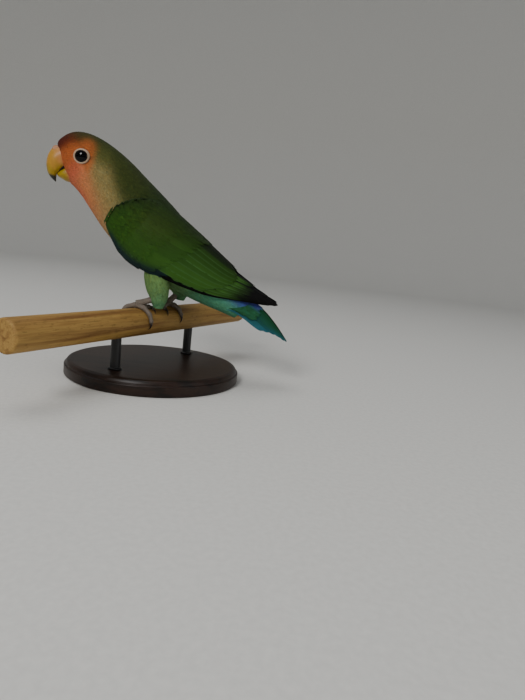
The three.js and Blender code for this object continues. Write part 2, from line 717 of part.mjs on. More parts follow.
/** One toe and its claw, bent round the perch. */
function toeSolid(place, toe) {
  const path = [];
  const radii = [];
  for (let i = 0; i <= TOE_STEPS + CLAW_STEPS; i++) {
    const share = Math.min(i / TOE_STEPS, 1);
    const inClaw = Math.max(0, i - TOE_STEPS) / CLAW_STEPS;
    const angle = degToRad(toe.reach * share + CLAW_REACH * inClaw) * toe.way;
    const thick = toe.radius * lerp(1, 0.74, share);
    const radius = inClaw > 0 ? lerp(CLAW_RADIUS, CLAW_TIP_RADIUS, inClaw) : thick;
    const along = place + toe.spread * Math.sin((share * Math.PI) / 2);
    path.push(overPerch(along, angle, GAP + TOE_CURVE_ROOM + radius));
    radii.push(radius);
  }
  return tubeSolid(path, radii, 6);
}

/** Shank, four toes and claws of one foot in one piece. */
function footSolid(name) {
  const ankle = overPerch(FOOT_PLACE[name], 0, SOLE_RISE);
  const heel = new THREE.Vector3(...HEEL[name]);
  const path = SHANK_RADII.map((_, i) => ankle.clone().lerp(heel, i / (SHANK_RADII.length - 1)));
  const toes = TOES[name].map((toe) => toeSolid(FOOT_PLACE[name], toe));
  return joined([tubeSolid(path, SHANK_RADII, 8), ...toes]);
}

/** Feathered thigh, from inside the flank down past the heel, grown outwards by an amount. */
function thighSolid(name, side, grow = 0) {
  const [heelX, , heelZ] = HEEL[name];
  const path = THIGH.map((s) => new THREE.Vector3(s.share * heelX + s.back, side * s.aside, heelZ + s.rise));
  const radii = THIGH.map((s) => s.radius + grow);
  return tubeSolid(path, radii, THIGH_SIDES);
}

const finish = (color, roughness) => new THREE.MeshStandardMaterial({ color, roughness, metalness: 0 });
const PEACH_FEATHERS = finish(0xc88050, 0.8);
const OLIVE_FEATHERS = finish(0x8a8048, 0.8);
const GREEN_FEATHERS = finish(0x6f9a4e, 0.8);
const WING_FEATHERS = finish(0x46702a, 0.65);
const TAIL_FEATHERS = finish(0x2f8060, 0.65);
const HORN = finish(0xd9b557, 0.35);
const EYE = finish(0x0b0807, 0.05);
const FOOT_SKIN = finish(0x8f857c, 0.6);
const BARE_WOOD = finish(0xb98a4a, 0.6);
const DARK_WOOD = finish(0x2c1c14, 0.45);
const BLACK_METAL = finish(0x1b1b1b, 0.5);

const group = new THREE.Group();
const add = (name, solid, material) => group.add(meshOf(name, solid, material));

const bodyEnd = BODY.length - 1;
const neckStart = HEAD_END + gapInStations(HEAD_END);
const torsoStart = NECK_END + gapInStations(NECK_END);
const tailStart = TORSO_END + gapInStations(TORSO_END);
const wideBody = bodyLength(HEAD_END, bodyEnd, CUTTER_ROWS, CUTTER_SIDES, GAP);
const wideTorso = bodyLength(NECK_END, tailStart, CUTTER_ROWS, CUTTER_SIDES, GAP);
const wideUpperBill = upperBillSolid(GAP);
const lowerBill = (grow) => billSolid(LOWER_BILL, LOWER_BILL_ROWS, BILL_SIDES, grow);

add("stand_base", baseSolid(), DARK_WOOD);
add("stand_rod_near", rodSolid(-1), BLACK_METAL);
add("stand_rod_far", rodSolid(1), BLACK_METAL);
add("perch", perchSolid(), BARE_WOOD);

const face = bodyLength(FACE_START, HEAD_END, HEAD_ROWS, BODY_SIDES);
const hollows = [eyeSolid(LEFT, GAP), eyeSolid(RIGHT, GAP), mouthGroove(LEFT), mouthGroove(RIGHT)];
const lidded = joined([face, lidSolid(LEFT), lidSolid(RIGHT)]);
add("head", without(lidded, [wideUpperBill, lowerBill(GAP), ...hollows]), PEACH_FEATHERS);
add("bill_upper", without(upperBillSolid(), [nostrilSolid(LEFT), nostrilSolid(RIGHT)]), HORN);
add("bill_lower", without(lowerBill(0), [wideUpperBill]), HORN);
add("neck", bodyLength(neckStart, NECK_END, NECK_ROWS, BODY_SIDES), OLIVE_FEATHERS);
add("torso", bodyLength(torsoStart, TORSO_END, TORSO_ROWS, BODY_SIDES), GREEN_FEATHERS);
for (const [side, name] of [
  [LEFT, "left"],
  [RIGHT, "right"],
]) {
  const wideThigh = thighSolid(name, side, GAP);
  add(`eye_${name}`, eyeSolid(side), EYE);
  add(`wing_${name}`, without(wingSolid(side), [wideBody, wideThigh]), WING_FEATHERS);
  add(`thigh_${name}`, without(thighSolid(name, side), [wideTorso]), GREEN_FEATHERS);
  add(`foot_${name}`, without(footSolid(name), [wideThigh]), FOOT_SKIN);
}
const rumpEnd = bodyLength(tailStart, bodyEnd, RUMP_ROWS, BODY_SIDES);
add("tail", joined([rumpEnd, tailFan()]).subtract(wideTorso), TAIL_FEATHERS);

export default group;
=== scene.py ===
"""Dresses a life-size peach-faced lovebird, its perch and its stand in skin, feathers, horn and wood."""
import math

import bmesh
import bpy
import numpy as np
from bpy.props import FloatProperty, FloatVectorProperty, IntProperty, PointerProperty
from mathutils import Matrix


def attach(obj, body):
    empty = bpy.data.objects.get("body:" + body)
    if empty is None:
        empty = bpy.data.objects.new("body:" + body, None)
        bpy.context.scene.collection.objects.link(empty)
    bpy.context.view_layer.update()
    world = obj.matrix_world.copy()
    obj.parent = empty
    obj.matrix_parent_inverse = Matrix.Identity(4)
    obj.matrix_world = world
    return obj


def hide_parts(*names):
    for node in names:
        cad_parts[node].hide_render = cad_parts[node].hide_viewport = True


bl_info = {
    "name": "Perched Lovebird",
    "version": (1, 0, 0),
    "blender": (4, 5, 0),
    "location": "View3D > Sidebar > Lovebird",
    "description": "Skin, feathers, bill, eyes, feet, perch and stand of a life-size peach-faced lovebird",
    "category": "Object",
}

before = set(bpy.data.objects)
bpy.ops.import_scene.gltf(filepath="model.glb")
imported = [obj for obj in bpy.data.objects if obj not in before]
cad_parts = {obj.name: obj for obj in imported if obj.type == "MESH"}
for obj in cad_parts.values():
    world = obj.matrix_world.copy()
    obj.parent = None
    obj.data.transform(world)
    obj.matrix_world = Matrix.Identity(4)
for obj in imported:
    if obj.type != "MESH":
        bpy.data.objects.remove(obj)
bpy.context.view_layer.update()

MM = 0.001
LEFT, RIGHT = -1, 1
SIDES = ((LEFT, "left"), (RIGHT, "right"))
UP = np.array([0.0, 0.0, 1.0])
SEED = 11
MOST_TRIANGLES = 200000

# Body: each section's top x and z and bottom x and z in the middle plane, half width, and how much wider it is
# below its middle than above. Sections run from the face to the root of the tail, and the numbers used as
# stations below count along this list. Millimetres.
BODY = np.array([
    (-51.6, 106.8, -51.6, 106.8, 0.0, 0.00),   # face pole
    (-56.0, 115.4, -49.4, 98.3, 5.0, 0.00),    # face
    (-53.0, 120.0, -47.2, 96.0, 8.7, 0.02),    # brow
    (-47.4, 122.9, -44.8, 93.6, 11.3, 0.05),   # crown
    (-40.6, 122.9, -42.6, 91.0, 12.5, 0.08),   # ear
    (-33.0, 120.4, -40.4, 88.0, 13.0, 0.08),   # nape
    (-25.4, 116.2, -36.9, 83.2, 13.7, 0.06),   # neck
    (-18.1, 110.9, -32.8, 77.8, 15.0, 0.04),   # collar
    (-10.7, 104.6, -27.6, 72.2, 16.8, 0.02),   # shoulder
    (-2.8, 98.0, -21.0, 66.6, 18.2, 0.02),     # breast
    (5.0, 91.2, -13.8, 61.0, 18.7, 0.03),      # keel
    (12.2, 84.2, -6.2, 56.0, 18.2, 0.03),      # belly
    (19.0, 77.0, 2.0, 51.6, 16.8, 0.02),       # flank
    (25.4, 69.8, 10.2, 47.6, 14.5, 0.00),      # vent
    (31.6, 62.8, 18.6, 44.2, 11.8, 0.00),      # rump
    (38.2, 57.0, 26.6, 41.6, 9.4, 0.00),       # crissum
    (45.0, 51.6, 34.4, 39.2, 7.6, 0.00),       # tail root
    (51.4, 46.6, 42.2, 36.6, 6.0, 0.00),       # tail coverts
])
BODY_END = len(BODY) - 1
HEAD_TURN = math.radians(14)
NECK_PIVOT_X = -27.0
TURN_FULL_AT, TURN_NONE_AT = 4.6, 8.6

# Bed of the folded wings in the same form, then the lowest and highest angle that a wing spans, in degrees
WING_BED = np.array([
    (-13.0, 104.6, -32.6, 69.6, 19.2, 0.0, -24, 0),    # bend
    (-7.4, 100.0, -28.0, 64.6, 20.4, 0.0, -32, 38),    # forearm
    (0.4, 93.8, -22.2, 59.2, 21.2, 0.0, -42, 66),      # elbow
    (8.4, 87.6, -15.4, 54.6, 21.2, 0.0, -44, 76),      # hand
    (16.6, 81.3, -7.4, 50.4, 20.2, 0.0, -38, 81),      # hand coverts
    (25.0, 74.9, 2.0, 47.0, 18.4, 0.0, -18, 83),       # flight roots
    (33.4, 68.4, 12.2, 44.4, 16.0, 0.0, -11, 84),      # secondaries
    (41.6, 62.2, 23.4, 42.8, 13.0, 0.0, -14, 84),      # inner tips
    (49.6, 56.6, 37.0, 43.6, 9.8, 0.0, -14, 82),       # middle tips
    (58.2, 51.6, 51.4, 43.9, 6.6, 0.0, -10, 74),       # outer tips
    (66.6, 47.6, 63.4, 44.0, 3.6, 0.0, -5, 60),        # point
])
WING_FORM, WING_SPAN = WING_BED[:, :6], WING_BED[:, 6:]
WING_STATION = 7.0
# Flesh of a wing: its first and last station, its depth under the bed, how far its skin sinks into the body at
# its lower and upper rims and at its front, and how wide those rims are rounded
WING_FLESH = (0.26, 5.4)
WING_SKIN_DEPTH = 0.8
WING_DEPTH, WING_FRONT = 2.0, 3.4
WING_RIM = 2.4

# Tail: the middle line of its arch as x and z, and its half width and drop at the root, middle and tip
TAIL_LINE = np.array([(34.0, 51.0), (46.0, 48.4), (56.0, 43.6), (64.6, 35.6), (71.9, 26.6)])
TAIL_WIDTH = np.array([(5.6, 7.4), (8.6, 7.0), (7.0, 3.6)])
# Tail feathers in pairs outwards from the middle: reach, place across the arch, half width, and how blue the
# outer web is
TAIL_PAIRS = ((1.0, 0.1, 2.9, 0.05), (0.95, 0.3, 2.8, 0.1), (0.89, 0.5, 2.8, 0.2), (0.83, 0.68, 2.7, 0.4),
              (0.77, 0.84, 2.6, 0.8), (0.71, 0.96, 2.4, 0.95))
# Height of the middle pair over the arch, how much lower each next pair lies, and how far a vane tilts
TAIL_TOP, TAIL_STEP, TAIL_TILT = 0.3, 0.34, 0.22

# Bill, in the same form as the body, before the head is turned
UPPER_BILL = np.array([
    (-48.6, 114.0, -44.4, 107.0, 6.8, 0.3),    # root
    (-56.2, 114.8, -49.2, 106.1, 5.5, 0.12),   # feather line
    (-59.7, 110.9, -52.6, 104.1, 5.1, 0.0),    # bridge
    (-60.8, 106.2, -54.6, 102.3, 4.3, 0.0),    # curve
    (-60.3, 102.3, -56.0, 101.0, 3.1, 0.0),    # hook
    (-59.0, 99.5, -56.2, 99.2, 1.7, 0.0),      # point
    (-56.4, 97.2, -56.1, 97.5, 0.35, 0.0),     # tip
])
LOWER_BILL = np.array([
    (-45.0, 106.6, -44.6, 98.8, 4.0, 0.0),     # root
    (-49.6, 105.9, -48.4, 97.9, 4.9, 0.0),     # feather line
    (-52.7, 104.0, -51.0, 98.1, 4.5, 0.0),     # middle
    (-55.0, 102.1, -53.1, 99.0, 3.3, 0.0),     # front
    (-55.8, 101.0, -54.6, 99.7, 1.6, 0.0),     # edge
])
# Lining of the mouth, seen as the dark line between the halves of the bill: nearly black as painted shade in the
# gap between them
MOUTH = np.array([
    (-45.9, 108.0, -45.7, 105.4, 3.6, 0.0),    # corner
    (-49.9, 107.2, -49.4, 104.8, 4.6, 0.0),    # feather line
    (-53.2, 105.4, -52.5, 103.0, 3.9, 0.0),    # middle
    (-55.8, 103.2, -54.8, 101.2, 2.2, 0.0),    # front
])

# Eye before the head is turned: place of its middle, radius of the ball, depth of the ball's middle under the
# face, how far ahead of the side it looks, and radius of the pupil
EYE_X, EYE_HEIGHT = -43.2, 110.0
EYE_RADIUS, EYE_INSET = 5.3, 4.2
EYE_FORWARD = math.radians(12)
PUPIL = 2.3
# Lids: half length of the opening, width of the bare ring, its height over its length, and the radius that the
# ball keeps to under them
EYE_OPENING, LID_WIDTH = 3.12, 1.02
LID_HEIGHT_RATIO = 0.92
EYE_SOCKET = 3.4

# Stand and perch
BASE_RADIUS, BASE_THICKNESS = 47.0, 8.0
ROD_RADIUS, ROD_HEIGHT, ROD_SPACING = 2.5, 15.6, 64.0
PERCH_RADIUS = 7.3
PERCH_HEADING = math.radians(65.5)
PERCH_NEAR, PERCH_FAR = 97.0, 92.0
PERCH_HEIGHT = BASE_THICKNESS + ROD_HEIGHT + PERCH_RADIUS
ALONG_PERCH = np.array([math.cos(PERCH_HEADING), math.sin(PERCH_HEADING), 0.0])
ACROSS_PERCH = np.array([math.sin(PERCH_HEADING), -math.cos(PERCH_HEADING), 0.0])

# Legs: place of each foot along the perch, and each heel joint
FOOT_PLACE = {LEFT: -18.4, RIGHT: 9.6}
HEEL = {LEFT: (2.0, -12.8, 43.0), RIGHT: (9.0, 12.2, 46.0)}
# Thigh: share of the way back to the heel and what is added, distance to the side, height above the heel and
# radius, from inside the flank to the last feathers round the shank
THIGH = np.array([
    (0.2, -0.6, 8.4, 17.8, 6.4),
    (0.35, 0.0, 10.2, 12.2, 6.8),
    (0.65, 0.5, 12.1, 6.8, 6.2),
    (0.9, 0.8, 12.4, 2.8, 5.1),
    (1.0, 0.8, 12.6, -0.4, 4.3),
    (1.0, 0.8, 12.6, -2.4, 3.2),
    (1.0, 0.6, 12.6, -4.2, 2.5),
])
# Toes of each foot: way round the perch, reach in degrees, spread along the perch and radius
TOES = {
    LEFT: ((-1, 84, 3.4, 1.25), (-1, 108, -2.6, 1.4), (1, 24, 8.4, 1.2), (1, 84, 2.4, 1.4)),
    RIGHT: ((-1, 88, -3.2, 1.25), (-1, 108, 2.8, 1.4), (1, 36, -9.4, 1.2), (1, 70, 2.0, 1.4)),
}
CLAW_REACH = 30

# Depth of the skin under the CAD solids, which the coat of small feathers fills
COAT_DEPTH = 1.0
# Grid on which the parts of the skin are joined
VOXEL = 0.6
# Length of a small feather and its half width, both in spacings of the coat
FEATHER_REACH, FEATHER_HALF = 3.3, 0.84
# Spacings of the small feathers where they are even, and how far a root strays, in spacings
THIGH_PITCH, UNDERTAIL_PITCH, RUMP_PITCH = 0.8, 1.5, 1.3
STRAY = 0.11
# Size of each feather's own patch of the unwrap
TUFT_PATCH = 0.003

# Areas of the plumage: colour, station, height on the section from -1 under to 1 on top, and reach of each
AREAS = (
    ("lores", 1.4, 0.15, 0.8, 0.38),
    ("forehead", 1.4, 0.85, 0.9, 0.36),
    ("forehead", 2.3, 0.82, 0.8, 0.3),
    ("brow", 3.4, 1.0, 0.9, 0.28),
    ("face", 2.6, 0.15, 0.8, 0.4),
    ("face", 4.2, 0.55, 0.45, 0.2),
    ("face", 4.3, 0.15, 0.4, 0.3),
    ("cheek", 2.9, -0.35, 0.8, 0.3),
    ("cheek", 4.2, -0.95, 0.9, 0.16),
    ("throat", 4.1, -0.55, 1.1, 0.35),
    ("throat", 5.8, -0.85, 1.5, 0.4),
    ("neck", 5.7, -0.1, 0.9, 0.45),
    ("neck", 7.0, -0.35, 0.9, 0.4),
    ("collar", 7.4, -0.85, 1.2, 0.4),
    ("olive", 5.3, 0.55, 0.6, 0.25),
    ("nape", 5.5, 0.95, 1.2, 0.35),
    ("nape", 7.4, 0.75, 1.2, 0.5),
    ("mantle", 10.5, 0.8, 2.4, 0.7),
    ("breast", 9.2, -0.8, 1.2, 0.7),
    ("belly", 12.0, -0.6, 1.6, 0.8),
    ("undertail", 15.2, -0.7, 1.8, 0.8),
    ("mantle", 13.6, 0.9, 1.0, 0.5),
    ("rump", 16.4, 0.75, 1.6, 0.6),
)

# Floor: radius of its flat part, arc over which it curves up into the backdrop, and its whole run
FLOOR_FLAT, FLOOR_CURVE, FLOOR_RUN = 1300.0, 900.0, 3600.0
# Lamps: place and width in metres, and power in watts
LAMPS = (("key", (-0.3, -0.85, 0.62), 0.3, 5.0), ("top", (-0.3, 0.0, 1.1), 0.8, 3.0),
         ("fill", (0.95, -0.5, 0.35), 0.8, 1.6))
AIMED_AT = np.array((0.0, 0.0, 0.08))
SKY, SKY_STRENGTH = (0.86, 0.91, 1.0, 1.0), 0.36
# Camera: place, how far it looks down and leans, the photograph's focal length and height in pixels, and the
# sensor's height
CAMERA_PLACE = np.array([59.5, -286.0, 73.0])
CAMERA_PITCH, CAMERA_ROLL = math.radians(10.4), math.radians(6.3)
FOCAL_PIXELS, PHOTO_HEIGHT = 526.0, 700.0
SENSOR = 36.0


def linear(code):
    """Linear colour of an sRGB hex code: each channel by the standard curve."""
    c = np.array([int(code[i:i + 2], 16) for i in (1, 3, 5)]) / 255.0
    return np.where(c <= 0.04045, c / 12.92, ((c + 0.055) / 1.055) ** 2.4)


def tint(code, name, description):
    """Colour property whose default is a hex code."""
    return FloatVectorProperty(name=name, description=description, subtype="COLOR", size=3, min=0.0, max=1.0,
                               default=tuple(float(c) for c in linear(code)))


def spacing(default, name, description):
    """Length property in metres whose default is given in millimetres."""
    return FloatProperty(name=name, description=description, unit="LENGTH", default=default * MM,
                         min=0.3 * MM, max=5 * MM)


class LovebirdPlumage(bpy.types.PropertyGroup):
    """Colours of the feathers."""
    forehead: tint("#4C1508", "Forehead", "Rusty red behind the cere")
    lores: tint("#B25C2E", "Lores", "Orange between bill and eye")
    brow: tint("#3C3C1A", "Brow", "Olive brown over the eye")
    face: tint("#A85A2C", "Face", "Orange round the eye")
    cheek: tint("#C25E44", "Cheek", "Salmon of the cheek")
    throat: tint("#C27A4E", "Throat", "Peach of the throat")
    collar: tint("#A88458", "Collar", "Peach buff of the upper breast")
    neck: tint("#86784A", "Neck", "Buff side of the neck")
    olive: tint("#4E5226", "Olive", "Olive behind the eye")
    nape: tint("#343C16", "Nape", "Dark olive green of crown and nape")
    mantle: tint("#1E300C", "Mantle", "Dark green of the back")
    breast: tint("#8C8E58", "Breast", "Pale yellow green of the breast")
    belly: tint("#6A8A4E", "Belly", "Light green of belly and thighs")
    undertail: tint("#4E8C6C", "Undertail", "Turquoise green of the undertail coverts")
    rump: tint("#343E86", "Rump", "Violet blue of the rump")
    wing: tint("#2A4A12", "Wing coverts", "Green of the wing")
    wing_low: tint("#355A1E", "Lower wing", "Brighter green of the wing's lower part")
    wing_edge: tint("#4E7844", "Wing edge", "Pale green of the quills' edges")
    bend: tint("#16282A", "Bend of the wing", "Blue black along the wing's lower edge")
    quill: tint("#090808", "Flight feathers", "Brown black of the flight feathers")
    tail: tint("#164A2A", "Tail", "Green of the tail")
    tail_edge: tint("#26606C", "Tail edge", "Teal blue of the tail's sides and tip")


class LovebirdBare(bpy.types.PropertyGroup):
    """Colours of horn, bare skin, eyes, wood and metal."""
    bill: tint("#B6842A", "Bill", "Golden horn")
    bill_root: tint("#BC7E44", "Bill root", "Peach tinted horn near the face")
    bill_low: tint("#9E8204", "Bill edge", "Yellower horn near the cutting edges")
    bill_tip: tint("#2A2A24", "Bill tip", "Dark worn tip")
    cere: tint("#B98662", "Cere", "Fleshy skin round the nostrils")
    # The mouth's lining is painted nearly black: painted shade in the gap between the halves of the bill
    mouth: tint("#160A06", "Mouth", "Dark lining of the mouth")
    ring: tint("#BCA084", "Eye ring", "Bare skin of the lids")
    iris: tint("#140A06", "Iris", "Very dark brown")
    toe: tint("#7C7064", "Foot", "Grey pink scaly skin")
    claw: tint("#241812", "Claw", "Dark horn")
    perch: tint("#A88446", "Perch", "Bare softwood")
    perch_dark: tint("#785228", "Perch grain", "Late wood and stains")
    base: tint("#2A1A12", "Base", "Dark stained wood")
    base_grain: tint("#120A06", "Base grain", "Pores and late wood under the stain")
    steel: tint("#0C0C0D", "Rods", "Black paint")
    floor: tint("#DEDCD6", "Floor", "Pale matt floor and backdrop")


class LovebirdSizes(bpy.types.PropertyGroup):
    """Sizes of the coat and numbers of quills."""
    face_pitch: spacing(0.55, "Face pitch", "Spacing of the feathers on the face")
    body_pitch: spacing(1.0, "Body pitch", "Spacing of the feathers on the body")
    wing_pitch: spacing(1.2, "Wing pitch", "Spacing of the small feathers of the wings")
    primaries: IntProperty(name="Primaries", description="Long feathers at the wing's point",
                           default=10, min=6, max=12)
    secondaries: IntProperty(name="Secondaries", description="Flight feathers of the arm",
                             default=10, min=6, max=14)


def palette():
    """Feather colours by name as arrays."""
    group = bpy.context.scene.lovebird_plumage
    return {name: np.array(getattr(group, name)) for name in LovebirdPlumage.__annotations__}


def bare(name):
    """One of the bare colours as an array."""
    return np.array(getattr(bpy.context.scene.lovebird_bare, name))


def smooth(value, low, high):
    """Smoothstep: 0 at low, 1 at high, 3t^2 - 2t^3 between."""
    t = np.clip((np.asarray(value, float) - low) / (high - low), 0.0, 1.0)
    return t * t * (3 - 2 * t)


def mix(a, b, share):
    """Colour a share of the way from a to b, for shares without a colour axis."""
    return a + (b - a) * np.asarray(share)[..., None]


def length(vectors):
    """Lengths of vectors, with their last axis kept."""
    return np.linalg.norm(vectors, axis=-1, keepdims=True)


def unit(vectors):
    """Vectors over their lengths."""
    return vectors / np.maximum(length(vectors), 1e-9)


def full_turn(count):
    """Angles of equal steps all the way round."""
    return np.linspace(0, 2 * np.pi, count, endpoint=False)


def along_table(table, at):
    """Values between a table's rows at fractional row numbers, by the Catmull-Rom cubic."""
    last = len(table) - 1
    t = np.clip(at, 0, last)
    i = np.minimum(t.astype(int), last - 1)
    f = (t - i)[..., None]
    a, b, c, d = (table[np.clip(i + k, 0, last)] for k in (-1, 0, 1, 2))
    bend, twist = 2 * a - 5 * b + 4 * c - d, 3 * b - a - 3 * c + d
    return 0.5 * (2 * b + (c - a) * f + bend * f ** 2 + twist * f ** 3)


def section_point(table, at, angle, side, lift):
    """Point of a stack of ellipses: middle + rise * sin(angle), and half * cos(angle) to the side."""
    at, angle, lift = np.broadcast_arrays(np.asarray(at, float), angle, lift)
    row = along_table(table, at)
    rise = (row[..., 0:2] - row[..., 2:4]) / 2
    middle = (row[..., 0:2] + row[..., 2:4]) / 2
    tall = np.maximum(np.linalg.norm(rise, axis=-1), 1e-6)
    up = (1 + lift / tall) * np.sin(angle)
    wide = (np.maximum(row[..., 4], 0) + lift) * np.cos(angle) * (1 - row[..., 5] * np.sin(angle))
    return np.stack([middle[..., 0] + rise[..., 0] * up, side * wide, middle[..., 1] + rise[..., 1] * up], -1)


def turned(points, at=0.0, way=1):
    """Points turned with the head about the upright axis through the neck, less and less past the neck."""
    turn = way * HEAD_TURN * (1 - smooth(at, TURN_FULL_AT, TURN_NONE_AT))
    x, y, z, turn = np.broadcast_arrays(points[..., 0] - NECK_PIVOT_X, points[..., 1], points[..., 2], turn)
    cos, sin = np.cos(turn), np.sin(turn)
    return np.stack([NECK_PIVOT_X + x * cos - y * sin, x * sin + y * cos, z], -1)


def body(at, angle, lift):
    """Body surface: angle 0 on the right side, 90 degrees on top, 180 on the left side."""
    return turned(section_point(BODY, at, angle, 1, lift), at)


def wing(side):
    """Bed of one wing as a surface of station and angle above the side."""
    return lambda at, angle, lift: section_point(WING_FORM, at, angle, side, lift)


def wing_span(at):
    """Lowest and highest angle of the wing at a station, in radians."""
    span = np.radians(along_table(WING_SPAN, np.asarray(at, float)))
    return span[..., 0], span[..., 1]


def wing_skin(side):
    """Wing bed rounded down to the body at its lower and upper rims, and further at its front: 1 - sqrt(1 - r^2)
    of the depth, where r goes from 0 to 1 over the rim's width."""
    def surface(at, angle, lift):
        at, angle, lift = np.broadcast_arrays(np.asarray(at, float), angle, lift)
        low, high = wing_span(at)
        half = along_table(WING_BED[:, 4:5], at)[..., 0]
        near, front = np.minimum(angle - low, high - angle) * half, at * WING_STATION
        side_sunk, front_sunk = (depth * (1 - np.sqrt(1 - (1 - np.clip(gap / WING_RIM, 0, 1)) ** 2))
                                 for depth, gap in ((WING_DEPTH, near), (WING_FRONT, front)))
        return section_point(WING_FORM, at, angle, side, lift - np.maximum(side_sunk, front_sunk))
    return surface


def tail_arch(share, across, lift):
    """Arch of the tail: a share of the way to the tip and of the way out, hanging by the square of the way
    out."""
    share, across, lift = np.broadcast_arrays(np.asarray(share, float), across, lift)
    last = len(TAIL_LINE) - 1
    at = np.clip(share, 0, 1) * last
    line = along_table(TAIL_LINE, at)
    ahead, behind = (along_table(TAIL_LINE, np.clip(at + e, 0, last)) for e in (0.05, -0.05))
    way = unit(ahead - behind)
    wide = along_table(TAIL_WIDTH, np.clip(share, 0, 1) * 2)
    up = lift - wide[..., 1] * across ** 2
    x, z = line[..., 0] - way[..., 1] * up, line[..., 1] + way[..., 0] * up
    return np.stack([x, wide[..., 0] * across, z], -1)


def thigh(side):
    """Thigh as a tube: at a station down its sections, radius * (cos, sin) of an angle about its path."""
    heel = HEEL[side]
    share, back, out_by, above, radius = THIGH.T
    path = np.stack([share * heel[0] + back, side * out_by, heel[2] + above, radius], -1)
    last = len(path) - 1

    def surface(at, angle, lift):
        at, angle, lift = np.broadcast_arrays(np.asarray(at, float), angle, lift)
        here = along_table(path, at)
        ahead, behind = (along_table(path, np.clip(at + e, 0, last))[..., :3] for e in (0.05, -0.05))
        way = unit(ahead - behind)
        aside = np.array([0.0, side, 0.0])
        out = unit(aside - way * (way * aside).sum(-1, keepdims=True))
        fore = np.cross(out, way)
        size = (here[..., 3] + lift)[..., None]
        return here[..., :3] + size * (out * np.cos(angle)[..., None] + fore * np.sin(angle)[..., None])
    return surface


def grid_faces(rows, columns, ring=True, loop=False):
    """Quads of a grid of rows by columns of points; ring joins its last column to its first, loop its rows."""
    i = np.arange(rows if loop else rows - 1)[:, None]
    j = np.arange(columns if ring else columns - 1)[None, :]
    k, n = (j + 1) % columns, (i + 1) % rows
    return np.stack([i * columns + j, i * columns + k, n * columns + k, n * columns + j], -1).reshape(-1, 4)


def volume(points, faces):
    """Signed volume of closed quads: the sum of the tetrahedra from the origin to their halves."""
    a, b, c, d = (points[faces[:, k]] for k in range(4))
    return (np.cross(a, b) * c).sum() + (np.cross(a, c) * d).sum()


def outwards(points, faces):
    """Closed quads with their faces turned outwards."""
    return points, faces if volume(points, faces) > 0 else faces[:, ::-1]


def closed_rings(grid):
    """Points and quads of a tube of rings, its ends closed by rings shrunk onto their middles."""
    ends = [np.broadcast_to(g.mean(0), g.shape) for g in (grid[0], grid[-1])]
    full = np.concatenate([ends[0][None], grid, ends[1][None]])
    return outwards(full.reshape(-1, 3), grid_faces(full.shape[0], full.shape[1]))


def ring_values(values):
    """Values of a grid of rings, repeated for the shrunk rings that close its ends."""
    return np.concatenate([values[:1], values, values[-1:]]).reshape(-1, values.shape[-1])


def merge(parts):
    """Joins points and quads of several parts into one list of each."""
    points, faces, start = [], [], 0
    for p, f in parts:
        points.append(p)
        faces.append(f + start)
        start += len(p)
    return np.concatenate(points), np.concatenate(faces)


def make_mesh(name, points, faces, uvs=None, colours=None, weld=0.0, rim=None):
    """Smooth mesh of points in millimetres and quads, with per-point UV maps and colours. Points nearer than
    weld are joined, which closes poles. Edges between points of a rim are sharp, so that both sheets of a leaf
    are shaded each by itself."""
    mesh = bpy.data.meshes.new(name)
    mesh.vertices.add(len(points))
    mesh.vertices.foreach_set("co", (np.asarray(points, float) * MM).ravel())
    mesh.loops.add(faces.size)
    mesh.loops.foreach_set("vertex_index", faces.ravel().astype(np.int32))
    mesh.polygons.add(len(faces))
    mesh.polygons.foreach_set("loop_start", np.arange(0, faces.size, faces.shape[1], dtype=np.int32))
    mesh.update(calc_edges=True)
    mesh.shade_smooth()
    if rim is not None:
        ends = np.empty(len(mesh.edges) * 2, np.int32)
        mesh.edges.foreach_get("vertices", ends)
        mesh.edges.foreach_set("use_edge_sharp", rim[ends].reshape(-1, 2).all(1))
    for label, uv in (uvs or {}).items():
        layer = mesh.uv_layers.new(name=label)
        layer.data.foreach_set("uv", uv[faces.ravel()].astype(np.float32).ravel())
    if colours is not None:
        attribute = mesh.color_attributes.new("Tint", "FLOAT_COLOR", "POINT")
        full = np.concatenate([colours, np.ones((len(colours), 1))], 1)
        attribute.data.foreach_set("color", full.astype(np.float32).ravel())
    if weld:
        work = bmesh.new()
        work.from_mesh(mesh)
        bmesh.ops.remove_doubles(work, verts=work.verts, dist=weld * MM)
        bmesh.ops.recalc_face_normals(work, faces=work.faces)
        work.to_mesh(mesh)
        work.free()
    mesh.validate()
    return mesh


def add_piece(name, solid, finish, slot, *nodes, **layers):
    """Object of a solid's points and quads that rides on the frame, takes its finish, and stands for CAD nodes.
    The slot is not used. Its layers are what make_mesh takes besides."""
    mesh = make_mesh(name, *solid, **layers)
    if len(mesh.polygons) * 2 > MOST_TRIANGLES:
        raise ValueError(name + " has too many triangles")
    mesh.materials.append(made_finish(finish))
    piece = bpy.data.objects.new(name, mesh)
    bpy.context.scene.collection.objects.link(piece)
    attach(piece, "root")
    if nodes:
        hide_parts(*nodes)


def tangents(surface, u, v):
    """Change of a surface's point per unit of u and of v by central differences, and its outward normal."""
    e = 1e-3
    pu = (surface(u + e, v, 0.0) - surface(u - e, v, 0.0)) / (2 * e)
    pv = (surface(u, v + e, 0.0) - surface(u, v - e, 0.0)) / (2 * e)
    normal = unit(np.cross(pu, pv))
    out = surface(u, v, 0.5) - surface(u, v, 0.0)
    return pu, pv, normal * np.sign((normal * out).sum(-1, keepdims=True))


def steps(pu, pv, way):
    """Steps of u and v that move a surface's point by a vector in it: the two-by-two metric solved."""
    uu, uv, vv = (pu * pu).sum(-1), (pu * pv).sum(-1), (pv * pv).sum(-1)
    a, b = (way * pu).sum(-1), (way * pv).sum(-1)
    size = np.maximum(uu * vv - uv * uv, 1e-9)
    return (vv * a - uv * b) / size, (uu * b - uv * a) / size


